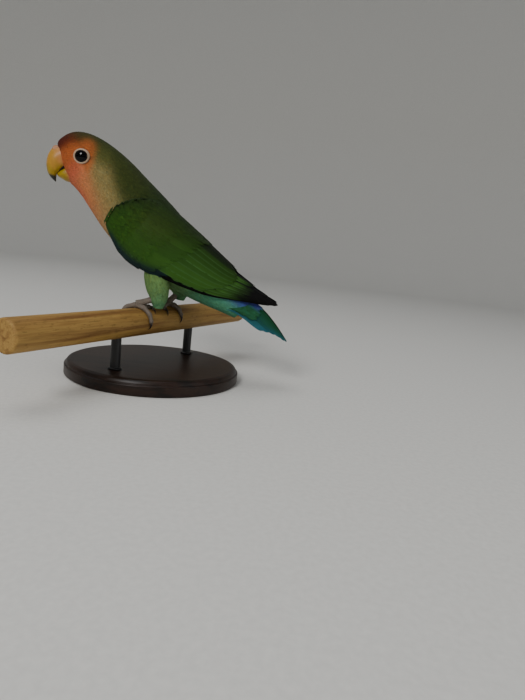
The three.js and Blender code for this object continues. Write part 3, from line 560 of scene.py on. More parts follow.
def leaf_faces(rows, columns):
    """Closed leaf: quads of a top sheet, and of an under sheet that shares the top's rim."""
    top = np.arange((rows + 1) * (columns + 1)).reshape(rows + 1, columns + 1)
    under = top.copy()
    under[1:-1, 1:-1] = top.size + np.arange((rows - 1) * (columns - 1)).reshape(rows - 1, columns - 1)

    def quads(grid):
        return np.stack([grid[:-1, :-1], grid[1:, :-1], grid[1:, 1:], grid[:-1, 1:]], -1).reshape(-1, 4)
    return np.concatenate([quads(top), quads(under)[:, ::-1]])


# Shapes of feathers: rows and columns of quads, share of the length at each row, half width and rise over the
# surface there, arch across, edge tilt, thickness, height of the shaft, how ragged and rounded the tip is, and
# how unevenly the feathers lie
SMALL = {
    "columns": 2, "shares": (0, 0.3, 0.62, 0.86, 1.0), "width": (0.45, 0.9, 1.0, 0.8, 0.28),
    "rise": (-COAT_DEPTH - 0.1, -0.38, -0.17, -0.07, -0.06), "camber": 0.07, "tilt": 0.0, "thick": 0.03,
    "shaft": 0.0, "rag": 0.13, "round": 0.1, "stir": 0.02,
}
COVERT = {
    "columns": 6, "shares": (0, 0.15, 0.35, 0.55, 0.72, 0.86, 0.95, 1.0),
    "width": (0.5, 0.8, 0.98, 1.0, 0.95, 0.76, 0.48, 0.14),
    "rise": (-1.2, -0.5, 0, 0, 0, 0, 0, -0.03), "camber": 0.06, "tilt": 0.09, "thick": 0.05,
    "shaft": 0.02, "rag": 0.02, "round": 0.0, "stir": 0.008,
}
QUILL = {
    "columns": 8, "shares": (0, 0.06, 0.12, 0.2, 0.3, 0.4, 0.5, 0.6, 0.7, 0.79, 0.87, 0.93, 0.97, 1.0),
    "width": (0.5, 0.7, 0.82, 0.92, 0.97, 1, 1, 1, 0.98, 0.94, 0.84, 0.68, 0.46, 0.1),
    "rise": (-1.2, -0.9, -0.6, -0.3, 0, 0, 0, 0, 0, 0, 0, 0, 0, 0), "camber": 0.1, "tilt": 0.14, "thick": 0.08,
    "shaft": 0.06, "rag": 0.006, "round": 0.0, "stir": 0.01,
}


def lay(surface, root, tip, half, shape, rng, base=0.0):
    """Feathers on a surface, each along the straight line of its two numbers from root to tip. A corner is the
    line's point at a share of the way, plus the steps that go square to it by across * half * width, lifted by
    rise + base + camber * (1 - across^2) - tilt * across and by the shaft; the under sheet lies a thickness
    below. across is positive towards greater v."""
    count, columns = len(half), shape["columns"]
    share, width, rise = (np.array(shape[k])[None, :, None] for k in ("shares", "width", "rise"))
    across = np.linspace(-1, 1, columns + 1)[None, None, :]
    way_u, way_v = ((np.asarray(tip[k]) - root[k])[:, None, None] for k in (0, 1))
    u, v = root[0][:, None, None] + way_u * share, root[1][:, None, None] + way_v * share
    pu, pv, normal = tangents(surface, u, v)
    way = unit(pu * way_u[..., None] + pv * way_v[..., None])
    square = np.cross(normal, way)
    greater = np.sign((square * pv).sum(-1))[:, :1]
    su, sv = steps(pu, pv, square)
    out = across * width * half[:, None, None]
    forth = rng.uniform(-1, 1, (count, 1, columns + 1)) * shape["rag"] + shape["round"] * (1 - across ** 2)
    forth = forth * share ** 3
    full_u, full_v = u + su * out + way_u * forth, v + sv * out + way_v * forth
    across = across * greater * np.ones_like(share)
    lift = rise + np.reshape(base, (-1, 1, 1)) + rng.normal(0, shape["stir"], (count, 1, 1)) * share
    lift = lift + shape["camber"] * (1 - across ** 2) - shape["tilt"] * across
    lift = lift + shape["shaft"] * (np.abs(across) < 1.2 / columns) * (1 - share)
    thick = shape["thick"] * np.sqrt(np.clip(1 - across ** 2, 0, 1)) * (1 - 0.5 * share)
    inner = (slice(None), slice(1, -1), slice(1, -1))
    sheets = [surface(full_u, full_v, lift), surface(full_u[inner], full_v[inner], (lift - thick)[inner])]
    points = np.concatenate([s.reshape(count, -1, 3) for s in sheets], 1)
    chord = length(surface(tip[0], tip[1], 0.0) - surface(root[0], root[1], 0.0))[:, 0]

    def corners(values):
        full = np.broadcast_to(values, full_u.shape)
        return np.concatenate([full.reshape(count, -1), full[inner].reshape(count, -1)], 1)
    faces = leaf_faces(share.size - 1, columns)[None] + (np.arange(count) * points.shape[1])[:, None, None]
    rim = np.ones(full_u.shape, bool)
    rim[inner] = False
    inside = np.zeros((count, points.shape[1] - rim[0].size), bool)
    run = share * chord[:, None, None]
    return {"points": points, "faces": faces.reshape(-1, 4), "share": corners(share), "across": corners(across),
            "rim": np.concatenate([rim.reshape(count, -1), inside], 1), "u": corners(full_u),
            "v": corners(full_v), "vane": np.stack([corners(out), corners(run)], -1)}


def coat(name, laid, roots_uv, colours, finish, slot, *nodes):
    """One coat object of laid feathers: each one's own patch of the unwrap at its root, its vane's own
    millimetres for the barbs, and its colours."""
    bake, vane, tints = [], [], []
    for one, uv, colour in zip(laid, roots_uv, colours):
        patch = TUFT_PATCH * np.stack([one["across"] / 2, one["share"]], -1)
        bake.append((uv[:, None, :] + patch).reshape(-1, 2))
        vane.append(one["vane"].reshape(-1, 2))
        tints.append(colour.reshape(-1, 3))
    solid = merge([(one["points"].reshape(-1, 3), one["faces"]) for one in laid])
    uvs = {"OFBake": np.concatenate(bake), "Vane": np.concatenate(vane)}
    rim = np.concatenate([one["rim"].ravel() for one in laid])
    add_piece(name, solid, finish, slot, *nodes, uvs=uvs, colours=np.concatenate(tints), rim=rim)


def scatter(surface, u_range, v_range, pitch, rng, ring=False):
    """Roots in staggered rows: rows a pitch apart along u, and each row's roots a pitch apart along v."""
    us, vs, ps = [], [], []
    u, turn = u_range[0], 0
    fine = np.linspace(v_range[0], v_range[1], 241)
    while u < u_range[1]:
        step = pitch(u)
        pu, pv, _ = tangents(surface, np.full_like(fine, u), fine)
        arc = np.concatenate([[0], np.cumsum(length(pv[:-1])[:, 0] * np.diff(fine))])
        n = max(3, int(arc[-1] / step))
        place = (np.arange(n) + 0.5 * (turn % 2) + (0 if ring else 0.25)) / n
        place = np.clip(place + rng.normal(0, STRAY, n) / n, 0, 1) * arc[-1]
        row_v = np.interp(place, arc, fine)
        along = length(pu)[:, 0]
        vs.append(row_v)
        us.append(u + rng.normal(0, STRAY, n) * step / np.interp(row_v, fine, along))
        ps.append(np.full(n, step))
        u += step / np.percentile(along, 80)
        turn += 1
    return np.concatenate(us), np.concatenate(vs), np.concatenate(ps)


def small_feathers(name, surface, roots, heading, reach, colour, unwrap, slot, rng, top=0.0):
    """Coat of small feathers from roots with a spacing, headed away from +u by an angle in radians and a number
    of spacings long. Their colours are a function of the laid feathers, and their places on the unwrap one of
    the roots."""
    u, v, pitch = roots
    pu, pv, normal = tangents(surface, u, v)
    forward = unit(pu)
    way = forward * np.cos(heading)[:, None] + np.cross(normal, forward) * np.sin(heading)[:, None]
    du, dv = steps(pu, pv, way * (reach * pitch)[:, None])
    laid = lay(surface, (u, v), (u + du, v + dv), FEATHER_HALF * pitch, SMALL, rng, top)
    coat(name, [laid], [unwrap(u, v)], [shaded(colour(laid), laid, rng)], "contour feathers", slot)


def plumage(at, height, colours):
    """Plumage colour at a station and a height on its section: the areas' colours weighed by how near each is,
    as a bell curve of the distance over its reach."""
    total, weight = 0, 1e-9
    for name, station, level, along, across in AREAS:
        w = np.exp(-((at - station) / along) ** 2 - ((height - level) / across) ** 2)[..., None] + 1e-12
        total, weight = total + w * colours[name], weight + w
    return total / weight


def shaded(colour, laid, rng):
    """Colour of laid feathers, each a little lighter or darker and warmer or cooler, with duller roots and
    brighter ends, partly their own tone and partly painted shade where the feathers over them lie, and duller
    towards their edges."""
    # Duller roots: partly the feathers' own tone, partly painted shade under the feathers that overlap them
    tone = rng.normal(1.0, 0.1, (len(laid["share"]), 1)) * (0.7 + 0.4 * laid["share"])
    warm = rng.normal(0.0, 0.05, (len(laid["share"]), 1, 1)) * np.array([1.0, 0.0, -1.0])
    return colour * (tone * (1.04 - 0.12 * np.abs(laid["across"])))[..., None] * (1 + warm)


def place_in(table, points, stations):
    """Place of points in a stack of sections: station and height of the section whose line passes nearest, how
    far the point is outside it to the side, and how far it is off that line, with the head turned back."""
    row = along_table(table, stations)
    rise, middle = (row[:, 0:2] - row[:, 2:4]) / 2, (row[:, 0:2] + row[:, 2:4]) / 2
    tall = np.maximum(np.linalg.norm(rise, axis=1), 1e-3)
    turned_at = stations if table is BODY else 0 * stations
    found = np.empty((len(points), 4))
    # In parts, so that the tables of distances stay small. A point past a section's ends counts as further off
    for part in np.array_split(np.arange(len(points)), 1 + len(points) // 10000):
        p = turned(points[part][:, None, :], turned_at[None, :], -1)
        x, z = p[..., 0] - middle[:, 0], p[..., 2] - middle[:, 1]
        off = (x * rise[:, 1] - z * rise[:, 0]) / tall
        high = (x * rise[:, 0] + z * rise[:, 1]) / tall ** 2
        best = (np.abs(off) + np.maximum(np.abs(high) - 1.05, 0) * 20).argmin(1)
        pick = (np.arange(len(part)), best)
        outside = np.abs(p[..., 1][pick]) - row[best, 4] * np.sqrt(1 - np.clip(high[pick], -1, 1) ** 2)
        found[part] = np.stack([stations[best], high[pick], outside, np.abs(off[pick])], -1)
    return found


def bill_inside(points):
    """Whether points lie within either half of the bill."""
    inside = np.zeros(len(points), bool)
    for table in (UPPER_BILL, LOWER_BILL):
        found = place_in(table, points, np.linspace(0, len(table) - 1, 120))
        inside |= (np.abs(found[:, 1]) < 1.02) & (found[:, 2] < 0.4) & (found[:, 3] < 0.4)
    return inside


def under_wing(points, side):
    """Whether points of the body lie under a wing, away from its rims: their nearest bed point is inside it."""
    at = np.linspace(0, 7, 60)[:, None]
    low, high = wing_span(at)
    t = np.linspace(0, 1, 40)[None, :]
    net = wing(side)(at, low + (high - low) * t, 0.0).reshape(-1, 3)
    # Points of the net this far from the rims hide the body's feathers
    inside = ((t > 0.16) & (t < 0.9) & (at > 0.8) & (at < 6.4)).ravel()
    result = np.zeros(len(points), bool)
    for part in np.array_split(np.arange(len(points)), 12):
        gap = np.linalg.norm(points[part][:, None] - net[None], axis=-1)
        result[part] = inside[gap.argmin(1)] & (gap.min(1) < 6)
    return result


def eye_axes(side):
    """Middle of an eyeball, the way it looks, and the level and upright directions across that, with the head
    turned."""
    at = np.linspace(2, 5, 300)[:, None]
    p = section_point(BODY, at, np.linspace(-0.6, 0.9, 300)[None, :], 1, 0.0)
    half = p[..., 1].ravel()[np.hypot(p[..., 0] - EYE_X, p[..., 2] - EYE_HEIGHT).argmin()]
    looks = np.array([-math.sin(EYE_FORWARD), side * math.cos(EYE_FORWARD), 0])
    middle = np.array([EYE_X, side * half, EYE_HEIGHT]) - looks * EYE_INSET
    looks = turned(middle + looks) - turned(middle)
    level = unit(np.cross(looks, UP))
    return turned(middle), looks, level, np.cross(level, looks)


def eye_gap(points):
    """Distance of points from the line of sight of the eye on their own side."""
    gaps = []
    for side in (LEFT, RIGHT):
        middle, looks, _, _ = eye_axes(side)
        depth = ((points - middle) * looks).sum(-1, keepdims=True)
        gap = length(points - middle - depth * looks)[..., 0]
        gaps.append(np.where(depth[..., 0] > 0, gap, 99.0))
    return np.minimum(*gaps)


def face_depth(side):
    """The face round an eye as a depth along its line of sight: a quadratic in the two distances across that
    line, fitted by least squares to points of the head within 7 mm."""
    middle, looks, level, upright = eye_axes(side)
    angle = np.linspace(-0.5, 1.0, 60)[None, :]
    p = body(np.linspace(2.2, 5.8, 60)[:, None], angle if side == RIGHT else np.pi - angle, 0.0) - middle
    a, b, depth = ((p @ axis).ravel() for axis in (level, upright, looks))
    near = np.hypot(a, b) < 7

    def terms(x, y):
        return np.stack([np.ones_like(x), x, y, x * x, x * y, y * y], -1)
    fit = np.linalg.lstsq(terms(a[near], b[near]), depth[near], rcond=None)[0]
    return lambda x, y: terms(x, y) @ fit


def add_node(tree, kind, settings=None, inputs=None):
    """Adds one shader node with its settings, colour stops and inputs, which are values or other nodes'
    sockets."""
    made = tree.nodes.new("ShaderNode" + kind)
    made.location = (200 * (len(tree.nodes) % 8), -280 * (len(tree.nodes) // 8))
    for key, value in (settings or {}).items():
        if key == "stops":
            ramp = made.color_ramp.elements
            for at, colour in value:
                ramp.new(at).color = (*colour, 1.0)
            ramp.remove(ramp[-1])
            ramp.remove(ramp[0])
        else:
            setattr(made, key, value)
    for key, value in (inputs or {}).items():
        if isinstance(value, bpy.types.NodeSocket):
            tree.links.new(value, made.inputs[key])
        else:
            made.inputs[key].default_value = value
    return made.outputs


def shader(name, sockets):
    """Material with a principled shader whose uniform values are set on its own sockets: the material, its tree,
    the shader's inputs, and the place on the piece that patterns read."""
    material = bpy.data.materials.new(name)
    material.use_nodes = True
    tree = material.node_tree
    tree.nodes.clear()
    surface = add_node(tree, "BsdfPrincipled", None, sockets)[0]
    add_node(tree, "OutputMaterial", None, {0: surface})
    return material, tree, surface.node.inputs, add_node(tree, "TexCoord")["Object"]


def stripes(tree, along, spacing_mm):
    """Even lines across a length in millimetres: the sine of it, one wave to each spacing."""
    turns = add_node(tree, "Math", {"operation": "MULTIPLY"}, {0: along, 1: 2 * math.pi / spacing_mm})[0]
    return add_node(tree, "Math", {"operation": "SINE"}, {0: turns})[0]


def paint(tree, surface, shade, colour=None, height=None, strength=0.0, depth_mm=0.0):
    """Base colour as a colour times a shade, where the colour is the mesh's own tint if none is given, and a
    bump of a depth in millimetres from a height."""
    if colour is None:
        colour = add_node(tree, "Attribute", {"attribute_name": "Tint"})["Color"]
    tinted = add_node(tree, "VectorMath", {"operation": "SCALE"}, {0: colour, "Scale": shade})[0]
    tree.links.new(tinted, surface["Base Color"])
    if height is not None:
        bump = add_node(tree, "Bump", None,
                        {"Strength": strength, "Distance": depth_mm * MM, "Height": height})[0]
        tree.links.new(bump, surface["Normal"])


def feather(name, roughness, sheen, barb_mm, patch_mm, patch):
    """Keratin vane of a feather: barbs side by side slant outwards and forwards from the shaft, which gives the
    eye a soft, silky surface with fine lines. Real barbs are too fine to show, so these are drawn coarser."""
    material, tree, surface, place = shader(name, {
        "Roughness": roughness, "Specular IOR Level": 0.12, "Sheen Weight": sheen, "Sheen Roughness": 0.5})
    vane = add_node(tree, "SeparateXYZ", None, {0: add_node(tree, "UVMap", {"uv_map": "Vane"})[0]})
    outward = add_node(tree, "Math", {"operation": "ABSOLUTE"}, {0: vane[0]})[0]
    slant = add_node(tree, "Math", {"operation": "MULTIPLY_ADD"}, {0: outward, 1: -0.9, 2: vane[1]})[0]
    barbs = stripes(tree, slant, barb_mm)
    mottle = add_node(tree, "TexNoise", None, {"Vector": place, "Scale": 1 / (patch_mm * MM), "Detail": 3.0})[0]
    lines = add_node(tree, "Math", {"operation": "MULTIPLY_ADD"}, {0: barbs, 1: 0.05, 2: 1 - patch / 2})[0]
    shade = add_node(tree, "Math", {"operation": "MULTIPLY_ADD"}, {0: mottle, 1: patch, 2: lines})[0]
    paint(tree, surface, shade, height=barbs, strength=0.4, depth_mm=0.05)
    return material


def horn(name, roughness, growth_mm):
    """Keratin horn, grown in thin layers and worn by use: satin, a little translucent, with faint growth lines
    and duller scuffs."""
    material, tree, surface, place = shader(name, {
        "Specular IOR Level": 0.3, "IOR": 1.54, "Subsurface Weight": 0.08, "Subsurface Radius": (1.0, 0.6, 0.3),
        "Subsurface Scale": 0.8 * MM})
    mottle = add_node(tree, "TexNoise", None, {"Vector": place, "Scale": 1 / (1.2 * MM), "Detail": 4.0})[0]
    along = add_node(tree, "SeparateXYZ", None, {0: add_node(tree, "UVMap", {"uv_map": "Grain"})[0]})[0]
    wavy = add_node(tree, "Math", {"operation": "MULTIPLY_ADD"}, {0: mottle, 1: growth_mm, 2: along})[0]
    rings = stripes(tree, wavy, growth_mm)
    lines = add_node(tree, "Math", {"operation": "MULTIPLY_ADD"}, {0: rings, 1: 0.02, 2: 0.82})[0]
    shade = add_node(tree, "Math", {"operation": "MULTIPLY_ADD"}, {0: mottle, 1: 0.36, 2: lines})[0]
    paint(tree, surface, shade, height=rings, strength=0.2, depth_mm=0.03)
    worn = add_node(tree, "MapRange", None, {0: mottle, 3: roughness - 0.08, 4: roughness + 0.12})[0]
    tree.links.new(worn, surface["Roughness"])
    return material


def pebbled_skin(name, roughness, grain_mm, depth_mm, groove_shade):
    """Bare or scaly skin: rounded grains with painted shade darkening the creases between them, so that it looks
    leathery.
    """
    material, tree, surface, place = shader(name, {
        "Roughness": roughness, "Specular IOR Level": 0.35, "Subsurface Weight": 0.1,
        "Subsurface Radius": (1.0, 0.4, 0.25), "Subsurface Scale": 0.6 * MM})
    cells = add_node(tree, "TexVoronoi", {"feature": "DISTANCE_TO_EDGE"},
                     {"Vector": place, "Scale": 1 / (grain_mm * MM)})["Distance"]
    raised = add_node(tree, "MapRange", None, {0: cells, 1: 0.0, 2: 0.25})[0]
    noise = add_node(tree, "TexNoise", None, {"Vector": place, "Scale": 1 / (2.0 * MM), "Detail": 2.0})[0]
    # Painted shade: the colour darkens in the creases between the grains
    grain_shade = add_node(tree, "Math", {"operation": "MULTIPLY_ADD"}, {0: raised, 1: groove_shade, 2: 0.85 - groove_shade})[0]
    shade = add_node(tree, "Math", {"operation": "MULTIPLY_ADD"}, {0: noise, 1: 0.3, 2: grain_shade})[0]
    paint(tree, surface, shade, height=raised, strength=0.6, depth_mm=depth_mm)
    return material


def wet_eye(name):
    """Tear-wet cornea over a nearly black iris: smooth, dark, with one small bright reflection."""
    material, tree, surface, place = shader(name, {"Roughness": 0.06, "Specular IOR Level": 0.3, "IOR": 1.376})
    flecks = add_node(tree, "TexNoise", None, {"Vector": place, "Scale": 1 / (0.5 * MM), "Detail": 3.0})[0]
    paint(tree, surface, flecks)
    return material


def wood(name, light, dark, roughness, heading, fibre_mm, stain):
    """Turned softwood: early and late wood in long streaks along the grain, with fine fibres, pores and scuffs,
    bare and dry or under a dark stain."""
    material, tree, surface, place = shader(name, {"Roughness": roughness, "Specular IOR Level": 0.3})
    light, dark = bare(light), bare(dark)

    def grained(long_mm, wide_mm, detail, bent=0.0):
        along = add_node(tree, "Mapping", {"vector_type": "TEXTURE"}, {
            0: place, "Rotation": (0, 0, heading), "Scale": (long_mm * MM, wide_mm * MM, wide_mm * MM)})[0]
        return add_node(tree, "TexNoise", None,
                        {"Vector": along, "Scale": 1.0, "Detail": detail, "Distortion": bent})[0]
    streaks = grained(60.0, fibre_mm * 6, 4.0, 0.4)
    fibres = grained(9.0, fibre_mm, 3.0)
    scuffs = grained(3.0, 1.1, 5.0)
    stops = ((0.32, dark), (0.44, mix(dark, light, 0.55)), (0.56, light), (0.7, mix(dark, light, 0.72)))
    colour = add_node(tree, "ValToRGB", {"stops": stops}, {0: streaks})[0]
    fine = add_node(tree, "MapRange", None, {0: fibres, 1: 0.35, 2: 0.65, 3: 0.86, 4: 1.08})[0]
    worn = add_node(tree, "MapRange", None, {0: scuffs, 1: 0.3, 2: 0.42, 3: stain, 4: 1.0})[0]
    shade = add_node(tree, "Math", {"operation": "MULTIPLY"}, {0: fine, 1: worn})[0]
    paint(tree, surface, shade, colour, fibres, 0.5, 0.12)
    return material


def mottled(name, colour, roughness, specular, size_mm, depth_mm):
    """Even coating or paper with slight unevenness of tone, gloss and surface at its own size."""
    material, tree, surface, place = shader(name, {"Specular IOR Level": specular})
    noise = add_node(tree, "TexNoise", None, {"Vector": place, "Scale": 1 / (size_mm * MM), "Detail": 3.0})[0]
    stops = ((0.3, bare(colour) * 0.95), (0.7, bare(colour) * 1.03))
    tone = add_node(tree, "ValToRGB", {"stops": stops}, {0: noise})[0]
    tree.links.new(tone, surface["Base Color"])
    gloss = add_node(tree, "MapRange", None, {0: noise, 3: roughness - 0.05, 4: roughness + 0.05})[0]
    tree.links.new(gloss, surface["Roughness"])
    bump = add_node(tree, "Bump", None, {"Strength": 0.4, "Distance": depth_mm * MM, "Height": noise})[0]
    tree.links.new(bump, surface["Normal"])
    return material


FINISHES = {
    # Loose down on the skin, seen between the feathers: quite dull, without vanes, with small uneven patches
    "down feathers": (feather, {"roughness": 0.9, "sheen": 0.05,
                                "barb_mm": 1.0, "patch_mm": 0.7, "patch": 0.3}),
    # Overlapping feathers of the coat: soft and dull, with fine lines and slow changes of tone
    "contour feathers": (feather, {"roughness": 0.85, "sheen": 0.04,
                                   "barb_mm": 0.4, "patch_mm": 2.2, "patch": 0.3}),
    # Stiff quills of wings and tail: firmer and smoother, with a low gloss
    "flight feathers": (feather, {"roughness": 0.6, "sheen": 0.0,
                                  "barb_mm": 0.5, "patch_mm": 4.0, "patch": 0.2}),
    # Thick golden horn: a satin gloss that breaks up where it is worn
    "bill horn": (horn, {"roughness": 0.38, "growth_mm": 0.7}),
    # Thin dark horn: a little glossier, with closer growth lines
    "claw horn": (horn, {"roughness": 0.3, "growth_mm": 0.5}),
    # Bare fleshy skin: fine grain with shallow creases
    "cere and lid skin": (pebbled_skin, {"roughness": 0.55, "grain_mm": 0.35, "depth_mm": 0.05, "groove_shade": 0.12}),
    # Wet skin inside the mouth: a dark line of painted shade in the gap of the bill, with a faint gloss
    "moist mouth lining": (pebbled_skin, {"roughness": 0.35, "grain_mm": 0.5, "depth_mm": 0.03, "groove_shade": 0.1}),
    # Hard small scales: dry, with deep creases darkened by painted shade
    "scaly foot skin": (pebbled_skin, {"roughness": 0.6, "grain_mm": 0.55, "depth_mm": 0.09, "groove_shade": 0.3}),
    # Clear cornea: a mirror gloss over a dark eye
    "wet cornea": (wet_eye, {}),
    # Sanded softwood without a coating: matt, streaked along the grain, with darker scuffs
    "bare turned softwood": (wood, {"light": "perch", "dark": "perch_dark", "roughness": 0.62,
                                    "heading": PERCH_HEADING, "fibre_mm": 0.5, "stain": 0.72}),
    # Softwood under a dark stain and wax: an even dark tone with a low gloss and grain that shows through
    "dark stained wood": (wood, {"light": "base", "dark": "base_grain", "roughness": 0.4, "heading": 0.0,
                                 "fibre_mm": 0.6, "stain": 0.85}),
    # Sprayed paint on steel rod: black, with a low gloss and a faint orange peel
    "black painted steel": (mottled, {"colour": "steel", "roughness": 0.42, "specular": 0.5, "size_mm": 0.6,
                                      "depth_mm": 0.01}),
    # Matt paper: pale and even, nearly without gloss
    "pale matt backdrop": (mottled, {"colour": "floor", "roughness": 0.9, "specular": 0.2, "size_mm": 2.0,
                                     "depth_mm": 0.02}),
}


def made_finish(name):
    """Material of a name, made the first time that it is asked for."""
    make, values = FINISHES[name]
    return bpy.data.materials.get(name) or make(name, **values)


class LOVEBIRD_OT_skin(bpy.types.Operator):
    """One skin over head, neck, body, thighs and the flesh of the wings: their surfaces sunk by the coat's depth
    and joined by a voxel remesh."""
    bl_idname = "lovebird.skin"
    bl_label = "Skin"

    def execute(self, context):
        angle = full_turn(96)[None, :]
        parts = [closed_rings(body(np.linspace(0.05, BODY_END, 150)[:, None], angle, -COAT_DEPTH))]
        for side, _ in SIDES:
            parts.append(closed_rings(thigh(side)(np.linspace(0, 5, 40)[:, None], angle[:, ::2], -COAT_DEPTH)))
            at = np.linspace(*WING_FLESH, 60)[:, None]
            low, high = wing_span(at)
            t = np.concatenate([np.linspace(0.05, 1, 30), np.linspace(1, 0.05, 30)])[None, :]
            outer = wing_skin(side)(at, low + (high - low) * t, -WING_SKIN_DEPTH)
            inner = wing(side)(at, low + (high - low) * t, -WING_DEPTH - WING_SKIN_DEPTH)
            parts.append(closed_rings(np.where((np.arange(60) < 30)[None, :, None], outer, inner)))
        work = bpy.data.objects.new("skin_work", make_mesh("skin_work", *merge(parts)))
        context.scene.collection.objects.link(work)
        modifier = work.modifiers.new("Remesh", "REMESH")
        modifier.mode = "VOXEL"
        modifier.voxel_size = VOXEL * MM
        mesh = bpy.data.meshes.new_from_object(work.evaluated_get(context.evaluated_depsgraph_get()))
        bpy.data.objects.remove(work)
        points = np.empty(len(mesh.vertices) * 3, np.float32)
        corner = np.empty(len(mesh.loops), np.int32)
        mesh.vertices.foreach_get("co", points)
        mesh.loops.foreach_get("vertex_index", corner)
        points = points.reshape(-1, 3).astype(float) / MM
        found = place_in(BODY, points, np.linspace(0.02, BODY_END, 340))
        named = palette()
        # Painted shade: the down under the feathers is painted a tenth darker than the plumage over it
        colours = plumage(found[:, 0], np.clip(found[:, 1], -1, 1), named) * 0.9
        colours = mix(colours, named["bend"], smooth(found[:, 2], -0.4, 0.4) * (points[:, 2] > 50))
        add_piece("skin", (points, corner.reshape(-1, 4)), "down feathers", "body_feathers",
                  "head", "neck", "torso", "thigh_left", "thigh_right", colours=colours)
        return {"FINISHED"}


def body_unwrap(at, angle):
    """Unwrap of the body: angle across and station up."""
    return np.stack([(angle / (2 * np.pi)) % 1.0, at / (BODY_END + 0.5)], -1)


def body_colour(laid):
    """Plumage colours of feathers laid on the body."""
    return plumage(laid["u"], np.sin(laid["v"]), palette())


def body_pitch(at):
    """Spacing of the small feathers along the body in millimetres: finest on the face."""
    sizes = bpy.context.scene.lovebird_sizes
    face, trunk = sizes.face_pitch / MM, sizes.body_pitch / MM
    return float(np.interp(at, [0.6, 3, 6, 10], [face * 0.9, face, 0.5 * (face + trunk), trunk]))


def clear_of_eyes(root, forward, pitch):
    """Length of each feather of the head in spacings, cut short before the bare ring round an eye, and which
    feathers stay: one that would be too short, or that starts on the ring and ends on it, is left out."""
    ring = EYE_OPENING + LID_WIDTH * 0.8

    def gap(share):
        return eye_gap(root + forward * (FEATHER_REACH * pitch * share)[:, None])
    outside = gap(0.0) > ring
    keep = outside | ((gap(0.0) > EYE_OPENING + 0.3) & (gap(0.35) > ring))
    reach = np.full(len(root), FEATHER_REACH)
    for share in (0.3, 0.45, 0.6, 0.8, 1.0):
        short = outside & (gap(share) < ring) & (reach >= FEATHER_REACH * share)
        reach = np.where(short, FEATHER_REACH * (share - 0.12), reach)
    return reach, keep & (reach > 0.6)


def thigh_unwrap(at, angle):
    """Unwrap of a thigh: angle across and station up."""
    return np.stack([(angle / (2 * np.pi)) % 1, at / 6], -1)


def thigh_colour(laid):
    """Colours of feathers laid on a thigh: belly green that turns towards turquoise lower down."""
    colours = palette()
    return mix(colours["belly"], colours["undertail"], smooth(laid["u"], 1.0, 6.0) * 0.6) * 0.88


# Coat of the body in pieces: first and last station, and the slot of each
BODY_COATS = (
    ("face_coat", 0.6, 3.4, "head_feathers"),
    ("crown_coat", 3.4, 5.4, "head_feathers"),
    ("neck_coat", 5.4, 8.2, "neck_feathers"),
    ("front_coat", 8.2, 12.0, "body_feathers"),
    ("rear_coat", 12.0, 16.4, "body_feathers"),
)
HEAD_END = 5.4


class LOVEBIRD_OT_body_coat(bpy.types.Operator):
    """Small feathers of head, neck, back, underparts and thighs, shorter round the eyes and left out under the
    wings."""
    bl_idname = "lovebird.body_coat"
    bl_label = "Body feathers"

    def execute(self, context):
        rng = np.random.default_rng(SEED)
        for name, start, end, slot in BODY_COATS:
            u, v, pitch = scatter(body, (start, end), (0, 2 * np.pi), body_pitch, rng, ring=True)
            heading = rng.normal(0, 0.16, len(u))
            root = body(u, v, -0.5)
            if start < HEAD_END:
                forward = unit(tangents(body, u, v)[0])
                reach, keep = clear_of_eyes(root, forward, pitch)
                keep &= ~bill_inside(body(u, v, -0.1) + forward * (1.4 * pitch)[:, None])
            else:
                reach = np.full(len(u), FEATHER_REACH)
                keep = ~(under_wing(root, LEFT) | under_wing(root, RIGHT))
            small_feathers(name, body, (u[keep], v[keep], pitch[keep]), heading[keep], reach[keep],
                           body_colour, body_unwrap, slot, rng)
        for side, label in SIDES:
            roots = scatter(thigh(side), (0.0, 5.5), (0, 2 * np.pi), lambda at: THIGH_PITCH, rng, ring=True)
            small_feathers("thigh_coat_" + label, thigh(side), roots, rng.normal(0, 0.22, len(roots[0])), 4.2,
                           thigh_colour, thigh_unwrap, "body_feathers", rng)
        return {"FINISHED"}


# Wing feathers in rows from the body outwards: kind, number or size that holds it, first and last root and tip
# as station and degrees, bow of the row of tips, half width, height over the bed, and shape
WING_ROWS = (
    ("primary", "primaries", (3.2, -30), (3.9, 30), (9.4, -12), (8.3, 70), 1.0, 2.1, 0.1, QUILL),
    ("primary covert", 8, (2.0, -38), (2.9, 10), (4.6, -30), (5.4, 20), 0.2, 1.7, 0.35, COVERT),
    ("secondary", "secondaries", (3.4, -12), (3.2, 66), (6.7, -8), (6.7, 78), 0.7, 3.2, 0.5, QUILL),
    ("greater covert", 13, (2.3, -26), (2.1, 60), (4.2, -24), (4.9, 74), 0.3, 2.4, 0.8, COVERT),
    ("median covert", 16, (1.5, -30), (1.3, 58), (3.1, -32), (3.8, 72), 0.3, 1.9, 0.95, COVERT),
)


def wing_tone(at, angle, colours):
    """Green of a wing by place: darker upwards, brighter low down, blue black along the front and lower rims."""
    low, high = wing_span(at)
    share = (angle - low) / (high - low)
    tone = mix(colours["wing"], colours["mantle"], smooth(share, 0.4, 0.95))
    tone = mix(tone, colours["wing_low"], (1 - smooth(share, 0.1, 0.5)) * smooth(at, 0.8, 4.0))
    tone = mix(tone, colours["nape"], 0.45 * np.exp(-((at - 2.7) / 1.3) ** 2 - ((share - 0.6) / 0.22) ** 2))
    rim = (1 - smooth(share, 0.08, 0.2)) * smooth(at, 0.4, 1.4) * (1 - smooth(at, 3.9, 4.7))
    return mix(tone, colours["bend"], rim)


